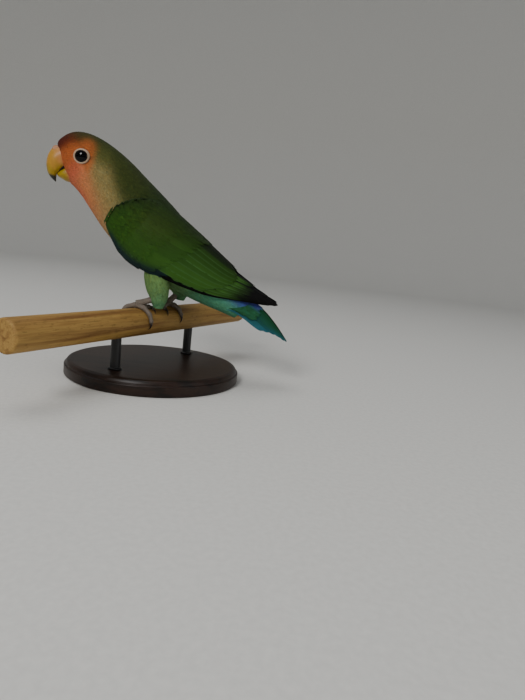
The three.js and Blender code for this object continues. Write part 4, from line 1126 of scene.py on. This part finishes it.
def wing_colours(kind, laid, colours):
    """Colours over one kind of wing feather: green outer web, dark inner web and, on the primaries, dark tip."""
    share, across = laid["share"], -laid["across"]
    tone = wing_tone(laid["u"], laid["v"], colours)
    order = np.arange(len(share))[:, None] * np.ones_like(share)
    edge = smooth(across, 0.72, 0.95)
    if kind == "primary":
        green = smooth(across, 0.0, 0.4) * (1 - smooth(laid["u"], 7.4, 8.3)) * (order > 0.5)
        web = mix(colours["quill"], colours["wing_low"], green)
        return mix(web, colours["wing_edge"], edge * 0.7 * (1 - smooth(laid["u"], 7.2, 8.4)) * (order > 0.5))
    if kind == "secondary":
        inner = smooth(order, len(share) - 3.5, len(share) - 1.5)
        green = np.maximum(smooth(across, -0.3, 0.1), smooth(share, 0.4, 0.6)) * (1 - 0.75 * inner)
        return mix(mix(colours["quill"], tone, green), colours["wing_edge"], edge * 0.35 * (1 - inner))
    if kind == "primary covert":
        return mix(tone, colours["bend"], 1 - smooth(order, 1.0, 4.0))
    return mix(tone, colours["wing_low"], edge * 0.3)


def wing_unwrap(at, angle):
    """Unwrap of a wing: station across and angle up."""
    return np.stack([0.05 + 0.9 * at / 10, 0.5 + angle / np.pi * 0.8], -1)


class LOVEBIRD_OT_wings(bpy.types.Operator):
    """Flight feathers, coverts and small feathers of both wings."""
    bl_idname = "lovebird.wings"
    bl_label = "Wings"

    def execute(self, context):
        rng = np.random.default_rng(SEED + 1)
        colours = palette()
        sizes = context.scene.lovebird_sizes
        for side, label in SIDES:
            laid, roots, tones = [], [], []
            for kind, count, root0, root1, tip0, tip1, bow, half, height, shape in WING_ROWS:
                n = getattr(sizes, count) if isinstance(count, str) else count
                s = np.linspace(0, 1, n)
                ends = [(a[0] + (b[0] - a[0]) * s, np.radians(a[1] + (b[1] - a[1]) * s))
                        for a, b in ((root0, root1), (tip0, tip1))]
                stagger = 0.45 * (np.arange(1, n + 1) % 2) * (kind == "primary")
                tip = (ends[1][0] + bow * np.sin(np.pi * s) - stagger + rng.normal(0, 0.03, n), ends[1][1])
                one = lay(wing(side), ends[0], tip, np.full(n, half), shape, rng, height)
                laid.append(one)
                roots.append(wing_unwrap(*ends[0]))
                tones.append(wing_colours(kind, one, colours) * rng.normal(1, 0.07, (n, 1, 1)))
            coat("wing_quills_" + label, laid, roots, tones, "flight feathers", "wing_feathers", "wing_" + label)
            pitch = sizes.wing_pitch / MM
            u, v, spaces = scatter(wing_skin(side), (0.03, 4.8), (math.radians(-46), math.radians(86)),
                                   lambda at: pitch * (0.9 + 0.14 * at), rng)
            low, high = wing_span(u)
            t = (v - low) / (high - low)
            # They cover the front of the wing, and reach further back near its upper rim
            keep = (t > 0.01) & (t < 1.0) & (u < 3.0 + 0.5 * t + 1.2 * smooth(t, 0.6, 0.9))
            roots = u[keep], v[keep], spaces[keep]
            small_feathers("wing_coat_" + label, wing_skin(side), roots, rng.normal(0, 0.14, len(roots[0])), 3.0,
                           lambda laid: wing_tone(laid["u"], laid["v"], colours), wing_unwrap,
                           "wing_feathers", rng, top=1.05)
        return {"FINISHED"}


def rump_unwrap(share, across):
    """Unwrap of the tail's upper side: place across and share of the way up."""
    return np.stack([0.5 + 0.25 * across, 0.2 + share], -1)


def rump_colour(laid):
    """Colours of the coverts over the tail: violet blue in the middle, green at the sides and ends."""
    colours = palette()
    green = np.maximum(smooth(laid["u"], 0.46, 0.56), smooth(np.abs(laid["v"]), 0.4, 0.72))
    return mix(colours["rump"], mix(colours["tail"], colours["undertail"], 0.14), green)


class LOVEBIRD_OT_tail(bpy.types.Operator):
    """Twelve tail feathers with the coverts above and below them."""
    bl_idname = "lovebird.tail"
    bl_label = "Tail"

    def execute(self, context):
        rng = np.random.default_rng(SEED + 2)
        colours = palette()
        laid, roots, tones = [], [], []
        for order, (reach, place, half, blueness) in enumerate(TAIL_PAIRS):
            for side, _ in SIDES:
                across = side * place
                root, tip = np.array([[0.02], [across * 0.8]]), np.array([[reach], [across]])
                shape = dict(QUILL, tilt=side * TAIL_TILT)
                one = lay(tail_arch, root, tip, np.array([half]), shape, rng, TAIL_TOP - TAIL_STEP * order)
                outward = smooth(one["across"] * side, -0.4, 0.7) * blueness
                blue = np.clip(outward + smooth(one["share"], 0.78, 1.0) * 0.7, 0, 1)
                tone = mix(colours["tail"], colours["tail_edge"], blue)
                tone = mix(tone, colours["quill"], smooth(-one["across"] * side, -0.1, 0.9) * 0.6)
                laid.append(one)
                roots.append(np.array([[0.1 + 0.05 * order, 0.5 + side * (0.1 + 0.05 * order)]]))
                tones.append(tone * rng.normal(1, 0.06))
        coat("tail_feathers", laid, roots, tones, "flight feathers", "tail_feathers", "tail")
        roots = scatter(body, (13.4, 16.9), (0, 2 * np.pi), lambda at: UNDERTAIL_PITCH, rng, ring=True)
        small_feathers("tail_coverts", body, roots, rng.normal(0, 0.07, len(roots[0])), 4.4,
                       body_colour, body_unwrap, "tail_feathers", rng)
        roots = scatter(tail_arch, (0.14, 0.38), (-1.0, 1.0), lambda at: RUMP_PITCH, rng)
        small_feathers("rump_coverts", tail_arch, roots, rng.normal(0, 0.07, len(roots[0])), 5.0,
                       rump_colour, rump_unwrap, "tail_feathers", rng, top=0.7)
        return {"FINISHED"}


def sheet_solid(top, under):
    """Points and quads of a closed slab between a grid of points and the inner points of one beneath it."""
    points = np.concatenate([top.reshape(-1, 3), under[1:-1, 1:-1].reshape(-1, 3)])
    return outwards(points, leaf_faces(top.shape[0] - 1, top.shape[1] - 1))


def bill_tone(table, at, high):
    """Colours of a half of the bill, or of its lining, by station and by height on the section from -1 to 1."""
    # The lining is nearly black as painted shade in the gap between the halves
    if table is MOUTH:
        return bare("mouth") * np.ones(at.shape + (1,))
    if table is LOWER_BILL:
        return mix(bare("bill_root"), bare("bill_low"), smooth(at, 1.0, 2.0))
    tone = mix(bare("bill_root"), bare("bill"), smooth(at + 0.5 * high, 1.1, 2.3))
    low = np.maximum(smooth(-high, 0.0, 0.9) * smooth(at, 1.4, 2.4), smooth(at, 2.6, 3.8))
    return mix(mix(tone, bare("bill_low"), low * 0.9), bare("bill_tip"), smooth(at, 4.2, 4.9))


def cere():
    """Cere as a swollen saddle over the root of the bill, with a mound and a pit at each nostril as bell curves
    of the distance from its middle: the points and quads, and their colours, darkened in the pits as painted
    shade."""
    at, angle = np.linspace(0.86, 1.62, 41)[:, None], np.radians(np.linspace(38, 142, 61))[None, :]
    edge = smooth(at, 0.86, 0.98) * (1 - smooth(at, 1.36, 1.62)) * smooth(np.sin(angle), 0.62, 0.8)
    lift = -0.25 + 0.5 * edge
    # Nostrils on both sides of the ridge. A station is 4.6 mm long there and a radian 5.3 mm
    for nostril in (np.radians(66), np.radians(114)):
        gap = np.hypot((at - 1.2) * 4.6, (angle - nostril) * 5.3)
        lift = lift + 0.6 * np.exp(-((gap / 1.2) ** 2)) - 1.5 * np.exp(-((gap / 0.42) ** 2))
    top, under = (turned(section_point(UPPER_BILL, at, angle, 1, depth)) for depth in (lift, lift - 0.5))
    fleshy, dark = (np.concatenate([part.ravel(), part[1:-1, 1:-1].ravel()]) for part in (edge, lift))
    # Painted shade: the colour darkens where the cere sinks into the nostril pits
    tone = mix(bare("bill_root"), bare("cere"), fleshy) * (0.3 + 0.7 * smooth(dark, -0.9, 0.0))[:, None]
    return sheet_solid(top, under), tone


class LOVEBIRD_OT_bill(bpy.types.Operator):
    """Both halves of the bill, the lining of the mouth and the cere with its nostrils. The halves are fuller
    than ellipses where they meet, below in the upper one and above in the lower: there half * cos becomes
    half * cos ^ 0.5."""
    bl_idname = "lovebird.bill"
    bl_label = "Bill"

    def execute(self, context):
        angle = full_turn(64)[None, :]
        for name, table, finish, meets, nodes in (
                ("bill_upper_horn", UPPER_BILL, "bill horn", -1, ("bill_upper",)),
                ("bill_lower_horn", LOWER_BILL, "bill horn", 1, ("bill_lower",)),
                ("mouth_lining", MOUTH, "moist mouth lining", 0, ())):
            at = np.linspace(0, len(table) - 1, 90)[:, None]
            ridge = 0.3 * np.exp(-(((angle - np.pi / 2) / 0.3) ** 2)) * (table is UPPER_BILL)
            ridge = ridge * smooth(at, 0.5, 1.5) * (1 - smooth(at, 3.5, 6))
            grid = section_point(table, at, angle, 1, ridge)
            full = smooth(meets * np.sin(angle), 0.0, 0.5) * 0.5 * (meets != 0)
            grid[..., 1] *= np.maximum(np.abs(np.cos(angle)), 1e-3) ** -full
            at, around = at + 0 * angle, angle + 0 * at
            uvs = {"Grain": ring_values(np.stack([at * 4.0, around * 4.0], -1))}
            add_piece(name, closed_rings(turned(grid)), finish, "bill", *nodes, uvs=uvs, weld=0.01,
                      colours=ring_values(bill_tone(table, at, np.sin(around))))
        solid, tone = cere()
        add_piece("cere", solid, "cere and lid skin", "bill", colours=tone)
        return {"FINISHED"}


def eyeball(side):
    """Ball whose distance from its axis, radius * sin, stops at the socket's: its points and quads, and their
    colours, black in the pupil."""
    middle, looks, level, upright = eye_axes(side)
    polar, turn = np.linspace(0.01, np.pi - 0.01, 60)[:, None, None], full_turn(72)[None, :, None]
    wide = np.minimum(EYE_RADIUS * np.sin(polar), EYE_SOCKET)
    tall = wide * (1 - (1 - LID_HEIGHT_RATIO) * smooth(wide, 2.8, EYE_SOCKET))
    ring = wide * level * np.cos(turn) + tall * upright * np.sin(turn)
    solid = closed_rings(middle + (looks * EYE_RADIUS * np.cos(polar) + ring))
    from_axis = np.broadcast_to(wide, (60, 72, 1))[..., 0]
    tone = mix(bare("iris") * 0.1, bare("iris"), smooth(from_axis, PUPIL - 0.1, PUPIL + 0.2))
    return solid, ring_values(tone)


def lids(side):
    """Bare ring round an eye as a loop of closed sections: its depth goes from the ball to the face in a
    straight line of its width, with a swell of sin ^ 0.8 set with beads. Its points and quads, and colours
    darkened by painted shade towards the ball."""
    middle, looks, level, upright = eye_axes(side)
    around = full_turn(144)[:, None]
    share = np.concatenate([np.linspace(0, 1, 12), np.linspace(1, 0, 12)])[None, :]
    over = (np.arange(24) < 12)[None, :]
    reach = EYE_OPENING + LID_WIDTH * (1 + 0.3 * np.cos(around - 0.5)) * share
    a, b = reach * np.cos(around), reach * np.sin(around) * LID_HEIGHT_RATIO
    on_ball = np.sqrt(EYE_RADIUS ** 2 - a * a - b * b)
    bead = 1 + 0.06 * np.sin(around * 31) + 0.05 * np.sin(around * 17)
    depth = on_ball + (face_depth(side)(a, b) - 0.25 - on_ball) * share
    depth = depth + 0.36 * bead * np.sin(np.pi * share) ** 0.8
    depth = np.maximum(depth, np.where(np.hypot(a, b) < EYE_SOCKET + 0.1, on_ball + 0.08, -9))
    depth = np.where(over, depth, depth - 0.7)
    grid = middle + level * a[..., None] + upright * b[..., None] + looks * depth[..., None]
    # Painted shade: the ring darkens towards its inner edge, in the crease where it meets the ball
    tone = mix(bare("ring") * 0.45, bare("ring"), smooth(share + 0 * around, 0.0, 0.3)).reshape(-1, 3)
    return outwards(grid.reshape(-1, 3), grid_faces(*grid.shape[:2], loop=True)), tone


class LOVEBIRD_OT_eyes(bpy.types.Operator):
    """Eyeballs and the bare rings of the lids, whose inner edge lies on the ball and outer edge on the face."""
    bl_idname = "lovebird.eyes"
    bl_label = "Eyes"

    def execute(self, context):
        for side, label in SIDES:
            solid, tone = eyeball(side)
            add_piece("eyeball_" + label, solid, "wet cornea", "eye", "eye_" + label, colours=tone, weld=0.01)
            solid, tone = lids(side)
            add_piece("lids_" + label, solid, "cere and lid skin", "foot_skin", colours=tone)
        return {"FINISHED"}


def tube(path, radii, sides=20, scute=0.0, scute_mm=1.0):
    """Tube about a path: ring = point + radius * (cos, sin) in the plane square to the path, turned as little
    as possible along it, the radius swelling between the edges of ring scales."""
    way = unit(np.gradient(path, axis=0))
    across = np.empty_like(path)
    across[0] = unit(np.cross(way[0], (0.31, 0.83, 0.47)))
    for i in range(1, len(path)):
        across[i] = unit(across[i - 1] - way[i] * (across[i - 1] @ way[i]))
    other = np.cross(way, across)
    angle = full_turn(sides)[None, :, None]
    run = np.concatenate([[0], np.cumsum(np.linalg.norm(np.diff(path, axis=0), axis=1))])
    swell = 1 + scute * (np.abs(np.sin(np.pi * run / scute_mm)) ** 0.6 - 0.6)
    size = (np.asarray(radii) * swell)[:, None, None]
    ring = across[:, None, :] * np.cos(angle) + other[:, None, :] * np.sin(angle)
    return closed_rings(path[:, None, :] + size * ring)


def over_perch(along, angle, lift):
    """Points over the perch: a distance along it, an angle round it from its top and a height off it."""
    angle, lift = np.broadcast_arrays(np.asarray(angle, float), lift)
    out = (PERCH_RADIUS + lift)[:, None]
    round_it = ACROSS_PERCH * np.sin(angle)[:, None] + UP * np.cos(angle)[:, None]
    return ALONG_PERCH * np.reshape(along, (-1, 1)) + round_it * out + UP * PERCH_HEIGHT


def toe(place, way, reach, spread, radius):
    """Toe with ring scales, bent round the perch, with three swells of a cosine along it."""
    share = np.linspace(0, 1, 90)
    thick = radius * (1 - 0.28 * share) * (1 + 0.07 * np.cos(share * np.pi * 6))
    path = over_perch(place + spread * np.sin(share * np.pi / 2), np.radians(reach * share) * way, thick + 0.12)
    return tube(path, thick, 24, 0.12, 0.9)


def claw(place, way, reach, spread):
    """Claw that tapers on from the end of a toe, arched off the perch, and each point's share of the way to its
    tip."""
    share = np.linspace(-0.15, 1, 30)
    tip = np.clip(share, 0, 1)
    thick = 0.82 * (1 - 0.88 * tip)
    path = over_perch(place + spread, np.radians(reach + CLAW_REACH * share) * way,
                      thick + 0.15 + 0.5 * np.sin(tip * np.pi))
    return tube(path, thick, 16), np.repeat(np.concatenate([tip[:1], tip, tip[-1:]]), 16)


def shank(side):
    """Bare shank from the heel to the perch, straight and thickest at its ends."""
    t = np.linspace(0, 1, 60)[:, None]
    ankle, heel = over_perch(FOOT_PLACE[side], [0.0], [2.2]), np.array(HEEL[side]) + (0.6, 0, 1.2)
    radii = np.interp(t[:, 0], [0, 0.25, 0.5, 0.75, 1], [1.9, 1.6, 1.55, 1.7, 2.0])
    return tube(ankle * (1 - t) + heel * t, radii, 24, 0.1, 1.1)


class LOVEBIRD_OT_feet(bpy.types.Operator):
    """Shanks, toes with ring scales, and claws."""
    bl_idname = "lovebird.feet"
    bl_label = "Feet"

    def execute(self, context):
        for side, label in SIDES:
            place = FOOT_PLACE[side]
            toes = [toe(place, *row) for row in TOES[side]]
            claws, tips = zip(*(claw(place, *row[:3]) for row in TOES[side]))
            points, faces = merge([*toes, shank(side)])
            # Painted light and shade: the skin is darker low round the perch and lighter on top
            high = smooth(points[:, 2], PERCH_HEIGHT - 4, PERCH_HEIGHT + PERCH_RADIUS + 4)
            add_piece("foot_skin_" + label, (points, faces), "scaly foot skin", "foot_skin", "foot_" + label,
                      colours=bare("toe") * (0.8 + 0.25 * high)[:, None], weld=0.01)
            points, faces = merge(claws)
            tone = mix(bare("toe") * 0.5, bare("claw"), smooth(np.concatenate(tips), 0.0, 0.3))
            add_piece("claws_" + label, (points, faces), "claw horn", "foot_skin",
                      uvs={"Grain": np.stack([points[:, 2], points[:, 0]], -1)}, colours=tone, weld=0.01)
        return {"FINISHED"}


def lathe(profile, sides, start, axis):
    """Turned piece: each (radius, distance) of the profile is a ring of that radius about an axis."""
    radius, distance = np.array(profile, float).T
    first = unit(np.cross(axis, (0.2, 0.9, 0.1)))
    other = np.cross(axis, first)
    angle = full_turn(sides)[None, :, None]
    ring = first * np.cos(angle) + other * np.sin(angle)
    return closed_rings(np.asarray(start) + axis * distance[:, None, None] + radius[:, None, None] * ring)


def rounded(profile, radius, count=5):
    """Profile with each inner corner rounded: count points on the curve between the places a radius before and
    after the corner, given by the quadratic a(1-t)^2 + 2bt(1-t) + ct^2."""
    points = [np.array(p, float) for p in profile]
    line = [points[0]]
    t = np.linspace(0, 1, count)[:, None]
    for before, corner, after in zip(points, points[1:], points[2:]):
        near = min(radius, 0.45 * np.linalg.norm(before - corner), 0.45 * np.linalg.norm(after - corner))
        a, c = corner + unit(before - corner) * near, corner + unit(after - corner) * near
        line.extend(a * (1 - t) ** 2 + 2 * corner * t * (1 - t) + c * t ** 2)
    return [*line, points[-1]]


class LOVEBIRD_OT_perch(bpy.types.Operator):
    """Turned wooden perch and base, and the two steel rods between them."""
    bl_idname = "lovebird.perch"
    bl_label = "Perch and stand"

    def execute(self, context):
        # Profiles as radius and distance along the axis, with broken edges, a step round the base's upper edge
        # and a collar at the foot of each rod
        r, b, t = PERCH_RADIUS, BASE_RADIUS, BASE_THICKNESS
        dowel = rounded([(0.01, -PERCH_NEAR), (r - 0.8, -PERCH_NEAR), (r, 0.8 - PERCH_NEAR),
                         (r, PERCH_FAR - 0.8), (r - 0.8, PERCH_FAR), (0.01, PERCH_FAR)], 0.5)
        base = rounded([(0.01, 0), (b - 0.6, 0), (b, 0.6), (b, t - 2.6), (b - 0.9, t - 2.3), (b - 0.9, t - 1.8),
                        (b - 1.6, t - 0.5), (b - 3.2, t), (0.01, t)], 0.5)
        rod = rounded([(0.01, 0), (ROD_RADIUS + 0.9, 0), (ROD_RADIUS + 0.9, 0.8), (ROD_RADIUS, 1.1),
                       (ROD_RADIUS, ROD_HEIGHT + 0.5), (0.01, ROD_HEIGHT + 0.5)], 0.3)
        pieces = [("perch_dowel", dowel, 96, UP * PERCH_HEIGHT, ALONG_PERCH,
                   "bare turned softwood", "perch", "perch"),
                  ("base_turned", base, 192, 0 * UP, UP, "dark stained wood", "stand_base", "stand_base")]
        for way, node in ((-1, "stand_rod_near"), (1, "stand_rod_far")):
            foot = ALONG_PERCH * way * ROD_SPACING / 2 + UP * t
            pieces.append((node + "_steel", rod, 48, foot, UP, "black painted steel", "stand_rod", node))
        for name, profile, sides, start, axis, finish, slot, node in pieces:
            add_piece(name, lathe(profile, sides, start, axis), finish, slot, node, weld=0.02)
        return {"FINISHED"}


def look_matrix(place, forward, up):
    """Placement whose -Z axis points forward and whose Y axis is as near to up as that allows."""
    back = -unit(forward)
    right = unit(np.cross(up, back))
    rows = np.eye(4)
    rows[:3, 0], rows[:3, 1], rows[:3, 2], rows[:3, 3] = right, np.cross(back, right), back, place
    return Matrix(rows.tolist())


class LOVEBIRD_OT_stage(bpy.types.Operator):
    """Floor that curves up all round into a backdrop, soft lights and the camera. The floor is a disc, then a
    quarter circle, then a wall, as functions of the run outwards."""
    bl_idname = "lovebird.stage"
    bl_label = "Stage"

    def execute(self, context):
        run, turn = np.linspace(0.1, FLOOR_RUN, 120)[:, None], full_turn(96)[None, :]
        bend = np.clip((run - FLOOR_FLAT) / FLOOR_CURVE, 0, 1) * np.pi / 2
        radius = FLOOR_CURVE * 2 / np.pi
        out = np.minimum(run, FLOOR_FLAT) + radius * np.sin(bend)
        rise = radius * (1 - np.cos(bend)) + np.maximum(run - FLOOR_FLAT - FLOOR_CURVE, 0)
        grid = np.stack(np.broadcast_arrays(out * np.cos(turn), out * np.sin(turn), rise), -1)
        mesh = make_mesh("floor", grid.reshape(-1, 3), grid_faces(120, 96))
        mesh.materials.append(made_finish("pale matt backdrop"))
        scene = context.scene
        floor = bpy.data.objects.new("floor", mesh)
        scene.collection.objects.link(floor)
        scene.world = scene.world or bpy.data.worlds.new("World")
        scene.world.use_nodes = True
        background = scene.world.node_tree.nodes["Background"].inputs
        background["Color"].default_value = SKY
        background["Strength"].default_value = SKY_STRENGTH
        for name, place, size, power in LAMPS:
            light = bpy.data.lights.new(name, "AREA")
            light.shape = "DISK"
            light.size = size
            light.energy = power
            lamp = bpy.data.objects.new(name, light)
            lamp.matrix_world = look_matrix(place, AIMED_AT - place, UP + (0, 0.01, 0))
            scene.collection.objects.link(lamp)
        forward = np.array([0, math.cos(CAMERA_PITCH), -math.sin(CAMERA_PITCH)])
        level = np.array([1.0, 0, 0])
        up = math.cos(CAMERA_ROLL) * np.cross(level, forward) - math.sin(CAMERA_ROLL) * level
        data = bpy.data.cameras.new("camera")
        data.sensor_width = SENSOR
        data.lens = FOCAL_PIXELS / PHOTO_HEIGHT * SENSOR
        data.clip_start = 10 * MM
        camera = bpy.data.objects.new("camera", data)
        camera.matrix_world = look_matrix(CAMERA_PLACE * MM, forward, up)
        scene.collection.objects.link(camera)
        scene.camera = camera
        return {"FINISHED"}


OPERATORS = (LOVEBIRD_OT_skin, LOVEBIRD_OT_body_coat, LOVEBIRD_OT_wings, LOVEBIRD_OT_tail, LOVEBIRD_OT_bill,
             LOVEBIRD_OT_eyes, LOVEBIRD_OT_feet, LOVEBIRD_OT_perch, LOVEBIRD_OT_stage)


class LOVEBIRD_PT_panel(bpy.types.Panel):
    """Buttons for every piece of the lovebird."""
    bl_idname = "LOVEBIRD_PT_panel"
    bl_label = "Lovebird"
    bl_space_type = "VIEW_3D"
    bl_region_type = "UI"
    bl_category = "Lovebird"

    def draw(self, context):
        for operator in OPERATORS:
            self.layout.operator(operator.bl_idname)


GROUPS = {"lovebird_plumage": LovebirdPlumage, "lovebird_bare": LovebirdBare, "lovebird_sizes": LovebirdSizes}
CLASSES = (*GROUPS.values(), *OPERATORS, LOVEBIRD_PT_panel)


def register():
    """Registers the classes, and the groups of settings on the scene."""
    for cls in CLASSES:
        bpy.utils.register_class(cls)
    for name, group in GROUPS.items():
        setattr(bpy.types.Scene, name, PointerProperty(type=group))


def unregister():
    """Takes the settings and the classes away again."""
    for name in GROUPS:
        delattr(bpy.types.Scene, name)
    for cls in reversed(CLASSES):
        bpy.utils.unregister_class(cls)


def main():
    """Makes every piece in order."""
    register()
    for operator in OPERATORS:
        getattr(bpy.ops.lovebird, operator.bl_idname.split(".")[1])()


if __name__ == "__main__":
    main()
